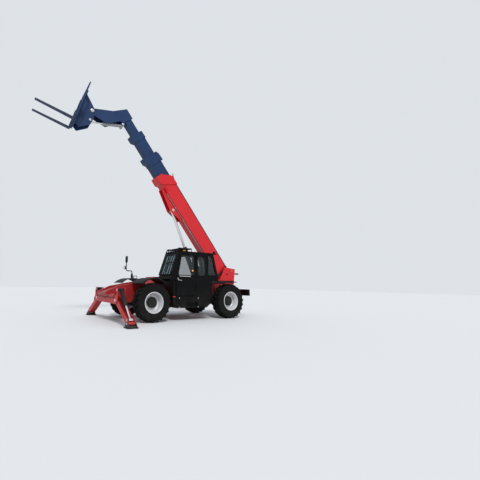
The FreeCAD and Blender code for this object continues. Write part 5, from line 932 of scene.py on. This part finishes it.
def make_axle_trim():
    """Steering cylinder, its rods and ties, and the gear housings' bolts on both axles."""
    dark, bright = Form(), Form()
    for ahead, way in ((WHEELBASE, -1), (0.0, 1)):
        x, z = ahead + way * 0.15, 0.64
        lathe(dark, [(-0.25, 0.02), (-0.245, 0.036), (0.245, 0.036), (0.25, 0.02)], spot(x, 0, z), (0, 1, 0), 28)
        for side in (1, -1):
            stroke(bright, [(x, side * 0.25, z), (x, side * 0.56, z)], 0.014)
            lathe(dark, [(0, 0.012), (0.004, 0.024), (0.05, 0.024), (0.054, 0.012)], spot(x, side * 0.545, z),
                  (0, side, 0), 20)
            box(dark, (ahead + way * 0.06, x + way * 0.02), (side * 0.17, side * 0.21), (0.61, 0.668))
        bolt_circle(dark, spot(ahead, 0.151, AXLE_HEIGHT), 0.15, 12, 1, 0.009, 0.008)
    dark.build("SteeringCylinders", STEEL_BLACK)
    bright.build("SteeringRods", CHROME)


# Stabilisers: the pins' places across and up, and the middle of all of it forward.

BEAM_AHEAD = 4.1
LEG_HINGE = np.array([0.9, 0.66])
BARREL_PIN = np.array([1.02, 0.97])
ROD_PIN = np.array([1.79, 0.2])
PAD_PIN = np.array([1.85, 0.112])


LEG_ALONG = unit(PAD_PIN - LEG_HINGE)


def on_leg(side):
    """Places for a leg's outline: a along it from its hinge, b square to it, level forward."""
    def place(a, b, level):
        outward = LEG_HINGE[0] + a * LEG_ALONG[0] - b * LEG_ALONG[1]
        upward = LEG_HINGE[1] + a * LEG_ALONG[1] + b * LEG_ALONG[0]
        return spot(level, side * outward, upward)
    return place


def make_stabilisers():
    """The beam's eared plates and flanges, and both legs with what is on them."""
    beam = Form()
    half = [(0.0, 0.56), (0.96, 0.56), (1.075, 0.66), (1.075, 1.02), (0.972, 1.02), (0.905, 0.858), (0.0, 0.832)]
    outline = rounded(half, 0.03, 4)[1:-1]
    outline = np.vstack([outline, (outline * (-1, 1))[::-1]])
    for level in (3.973, 4.213):
        plate(beam, outline, across, level, level + 0.014)
    plate(beam, rect(-0.77, 0.77, 0.574, 0.818), across, 3.985, 4.215)
    soften(beam.build("StabiliserBeam", SHADED_LEG_RED, ["stabiliser_beam"]))
    for name, side in (("left", 1), ("right", -1)):
        make_leg(name, side)
        make_pad(name, side)
        make_sleeve(name, side)
        heads = Form()
        for way in (1, -1):
            for (y, z), reach in ((ROD_PIN, 0.105), (PAD_PIN, 0.127)):
                lathe(heads, [(0, 0.03), (0.006, 0.03), (0.01, 0.024)], spot(BEAM_AHEAD + way * reach, side * y, z),
                      (way, 0, 0), 24)
        heads.build(f"LegPinHeads_{name}", BOLT, body=f"leg_{name}_body")


def make_leg(name, side):
    """A leg: two walls, its lower flange, the pad's bush and the rod's lugs."""
    leg, place = Form(), on_leg(side)
    wall = ring([(-0.075, -0.078), (0.78, -0.078), (1.085, -0.052), (1.14, 0.0), (1.115, 0.05), (1.04, 0.096),
                 (0.96, 0.096), (0.86, 0.07), (-0.075, 0.07)], 0.035)
    for level in (3.995, 4.193):
        plate(leg, wall, place, level, level + 0.012)
    plate(leg, [(-0.06, -0.077), (0.78, -0.077), (1.07, -0.052), (1.07, -0.04), (0.78, -0.063), (-0.06, -0.063)],
          place, 4.002, 4.198)
    lathe(leg, [(0, 0.035), (0.005, 0.04), (0.205, 0.04), (0.21, 0.035)], spot(3.995, side * PAD_PIN[0], PAD_PIN[1]),
          (1, 0, 0), 28)
    for level in (4.078, 4.11):
        plate(leg, rect(0.16, 0.6, -0.066, -0.03), place, level, level + 0.01)
    soften(leg.build(f"StabiliserLeg_{name}", SHADED_LEG_RED, [f"stabiliser_leg_{name}"], f"leg_{name}_body"), 0.003)


def make_pad(name, side):
    """A pad on the floor with its two cheeks and the block between them."""
    pad = Form()
    foot = ring(rect(3.935, 4.265, 1.69, 2.01), 0.05)
    plate(pad, foot, lambda a, b, level: spot(a, side * b, level), 0.0, 0.026)
    cheek = ring([(1.72, 0.024), (1.985, 0.024), (1.985, 0.05), (1.892, 0.15), (1.812, 0.15), (1.72, 0.05)], 0.02)
    for level in (3.972, 4.208):
        plate(pad, cheek * (side, 1), across, level, level + 0.02)
    block = np.array([(1.74, 0.022), (1.96, 0.022), (1.9, 0.066), (1.8, 0.066)])
    plate(pad, block * (side, 1), across, 3.99, 4.21)
    soften(pad.build(f"StabiliserPad_{name}", STEEL_BLACK, [f"stabiliser_pad_{name}"], f"leg_{name}_body"), 0.003)


def make_sleeve(name, side):
    """The hollow sleeve round a cylinder's barrel and the two pipes along it."""
    sleeve, way = Form(), unit(ROD_PIN - BARREL_PIN)
    lathe(sleeve, [(0.085, 0.0485), (0.087, 0.054), (0.092, 0.056), (0.545, 0.056), (0.556, 0.052), (0.592, 0.052),
                   (0.598, 0.0485)], spot(BEAM_AHEAD, side * BARREL_PIN[0], BARREL_PIN[1]),
          (0, side * way[0], way[1]), 36, True)
    for shift in (-0.062, 0.062):
        line = [BARREL_PIN + way * s + 0.03 * way[::-1] for s in (0.1, 0.3, 0.52)]
        stroke(sleeve, [(BEAM_AHEAD + shift, side * y, z) for y, z in line], 0.007, 0.02, 8)
    sleeve.build(f"CylinderSleeve_{name}", STEEL_BLACK, body=f"stabiliser_barrel_{name}_body")


def make_stabiliser_trim():
    """Pin heads on the beam and pipes along it up to the cylinders."""
    bright, pipes = Form(), Form()
    for side in (1, -1):
        for (y, z), r in ((LEG_HINGE, 0.046), (BARREL_PIN, 0.03)):
            for way in (1, -1):
                lathe(bright, [(0, r), (0.008, r), (0.012, r * 0.86), (0.012, r * 0.3), (0.018, r * 0.24)],
                      spot(BEAM_AHEAD + way * 0.127, side * y, z), (way, 0, 0), 28)
        stroke(pipes, [(4.234, side * 0.06, 0.7), (4.24, side * 0.08, 0.735), (4.24, side * 0.78, 0.735),
                       (4.24, side * 0.87, 0.82), (4.236, side * 0.985, 0.9)], 0.008, 0.03, 10)
        for y in (0.25, 0.5, 0.75):
            box(pipes, (4.227, 4.25), (side * (y - 0.015), side * (y + 0.015)), (0.722, 0.748))
    bright.build("StabiliserPinHeads", BOLT)
    pipes.build("StabiliserPipes", STEEL_BLACK)


# Boom


def make_boom_trim():
    """Collar bolts on every section, dark strips along the upper edges that are partly a black strip and partly a
    painted shadow line, and the pipe under the outer section.
    """
    # Columns: body, stations along, heights, half width, finish.
    table = [("boom_outer_body", (4.12, 4.22, 4.32, 4.42), (-0.07, -0.5), 0.225, RED),
             ("boom_second_body", (5.2, 5.32, 5.46), (-0.1, -0.47), 0.194, NAVY),
             ("boom_third_body", (6.23, 6.39), (-0.16, -0.45), 0.169, NAVY)]
    for body, stations, heights, half, colour in table:
        form = Form()
        u, w = [v.ravel() for v in np.meshgrid(stations, heights)]
        for side in (1, -1):
            points = boom_point(u, side * half, w)
            bolts(form, points, side * ACROSS, 0.016, 0.014)
            for point in points:
                lathe(form, [(0, 0.028), (0.003, 0.028), (0.004, 0.02)], point, side * ACROSS, 20)
        form.build(f"CollarBolts_{body}", colour, body=body, slot="dark_paint")
    strip, pipe, caps, heads = Form(), Form(), Form(), Form()
    # Dark strips along both upper edges of the outer section: partly a black strip, partly a painted shadow line.
    edge = [(0.1, -0.044), (0.1, -0.013), (4.03, -0.013), (4.03, -0.044)]
    for side in (1, -1):
        slab(strip, edge, along_boom, *sorted((side * 0.1995, side * 0.2035)), 0.001)
    guide = rounded([(4.26, 0.0), (4.27, 0.07), (4.44, 0.11), (4.5, 0.16)], 0.03, 5)
    for y in (-0.06, 0.12):
        tube(strip, along_boom(*guide.T, y), 0.013, 10)
    strip.build("BoomEdgeStripsPaintedShadow", STEEL_BLACK, body="boom_outer_body")
    for y, end in ((0.155, 3.98), (0.12, 2.66)):
        path = rounded([(0.3, -0.573), (0.36, -0.59), (end - 0.06, -0.59), (end, -0.573)], 0.03, 5)
        tube(pipe, along_boom(*path.T, y), 0.011, 10)
    for u in np.arange(0.6, 3.9, 0.55):
        clip = [(u - 0.02, -0.604), (u - 0.02, -0.569), (u + 0.02, -0.569), (u + 0.02, -0.604)]
        slab(pipe, clip, along_boom, 0.138, 0.172, 0.003)
    pipe.build("BoomPipes", HOSE, body="boom_outer_body")
    for side in (1, -1):
        lathe(caps, [(0, 0.055), (0.01, 0.055), (0.014, 0.046), (0.014, 0.016), (0.02, 0.014)],
              boom_point(3.33, side * 0.1255, -0.71), side * ACROSS, 28)
        for (u, w), r in ((TILT_PIN, 0.04), ((6.94, -0.64), 0.038)):
            lathe(heads, [(0, r), (0.004, r), (0.007, r * 0.8)], boom_point(u, side * 0.1475, w), side * ACROSS, 28)
    caps.build("LiftPinHeads", BOLT, body="boom_outer_body")
    heads.build("HeadPinHeads", BOLT, body="boom_fourth_body")


def make_carriage_trim():
    """Pin heads on the coupler's cheeks, hooks over the carriage's bar and the forks' stops."""
    form, hooks = Form(), Form()
    up = fork_point(0, 0, 1) - fork_point(0, 0, 0)
    hook = rounded([(0.385, -0.075), (0.385, -0.048), (0.492, -0.048), (0.492, -0.15), (0.47, -0.15),
                    (0.455, -0.075), (0.385, -0.075)], 0.01, 4)[:-1]
    for side in (1, -1):
        for x, z, r in ((0.0, 0.0, 0.06), (-0.037, -0.366, 0.045)):
            lathe(form, [(0, r), (0.008, r), (0.013, r * 0.85), (0.013, r * 0.3), (0.019, r * 0.25)],
                  fork_point(x, side * 0.1781, z), side * ACROSS, 28)
        y = side * 0.35
        slab(hooks, hook, lambda a, b, level: fork_point(a, level, b), y - 0.055, y + 0.055, 0.003)
        lathe(hooks, [(0, 0.018), (0.03, 0.018), (0.034, 0.01)], fork_point(0.465, y, -0.05), up, 20)
    form.build("CarriagePinHeads", BOLT, body="carriage_body")
    hooks.build("ForkHooks", STEEL_BLACK, body="carriage_body")


for make in (make_cab, make_door, make_side_box, make_guards, make_lamps, make_mirror, make_cab_trim, make_seat,
             make_controls, make_mudguards, make_hood, make_tower_trim, make_axle_trim, make_stabilisers,
             make_stabiliser_trim, make_boom_trim, make_carriage_trim):
    make()


# Stage, camera and light

def make_stage():
    """A pale floor that fades into a pale surround, a soft sun and an even sky."""
    mesh = bpy.data.meshes.new("StudioFloor")
    mesh.from_pydata([(x, y, 0) for x, y in rect(-60, 60, -60, 60)], [], [(0, 1, 2, 3)])
    floor = bpy.data.objects.new("StudioFloor", mesh)
    bpy.context.scene.collection.objects.link(floor)
    material, tree, shader = new_material("PaleFloor")
    feed(tree, shader, {"Base Color": (0.62, 0.63, 0.64, 1), "Roughness": 0.85})
    mesh.materials.append(material)
    sun = bpy.data.lights.new("SoftSun", "SUN")
    sun.energy, sun.angle = 2.2, radians(12)
    lamp = bpy.data.objects.new("SoftSun", sun)
    lamp.rotation_euler = (radians(42), radians(8), radians(150))
    bpy.context.scene.collection.objects.link(lamp)
    world = bpy.data.worlds.new("PaleSky")
    bpy.context.scene.world = world
    world.use_nodes = True
    tree = world.node_tree
    feed(tree, tree.nodes["Background"], {"Color": (0.86, 0.9, 0.95, 1), "Strength": 0.85})
    bpy.context.scene.view_settings.view_transform = "Standard"


def make_camera():
    """The camera that sees the machine as the photograph does: place, yaw, pitch, roll and lens."""
    yaw, pitch, roll = -2.0968, 0.20691, -0.01462
    ahead = np.array([cos(yaw) * cos(pitch), sin(yaw) * cos(pitch), sin(pitch)])
    right = np.array([sin(yaw), -cos(yaw), 0.0])
    down = np.cross(ahead, right)
    level = cos(roll) * right + sin(roll) * down
    plumb = -sin(roll) * right + cos(roll) * down
    data = bpy.data.cameras.new("PhotoCamera")
    # The lens and the shift in pixels of a photograph 480 wide, whose middle is at 168, 220.
    data.sensor_width, data.lens = 36.0, 299.74 / 480 * 36.0
    data.shift_x, data.shift_y = (240 - 168) / 480, (220 - 240) / 480
    data.clip_end = 300.0
    camera = bpy.data.objects.new("PhotoCamera", data)
    turn = np.eye(4)
    turn[:3, 0], turn[:3, 1], turn[:3, 2], turn[:3, 3] = level, -plumb, -ahead, (4.66712, 9.55088, 1.18784)
    camera.matrix_world = Matrix(turn.tolist())
    bpy.context.scene.collection.objects.link(camera)
    bpy.context.scene.camera = camera


make_stage()
make_camera()
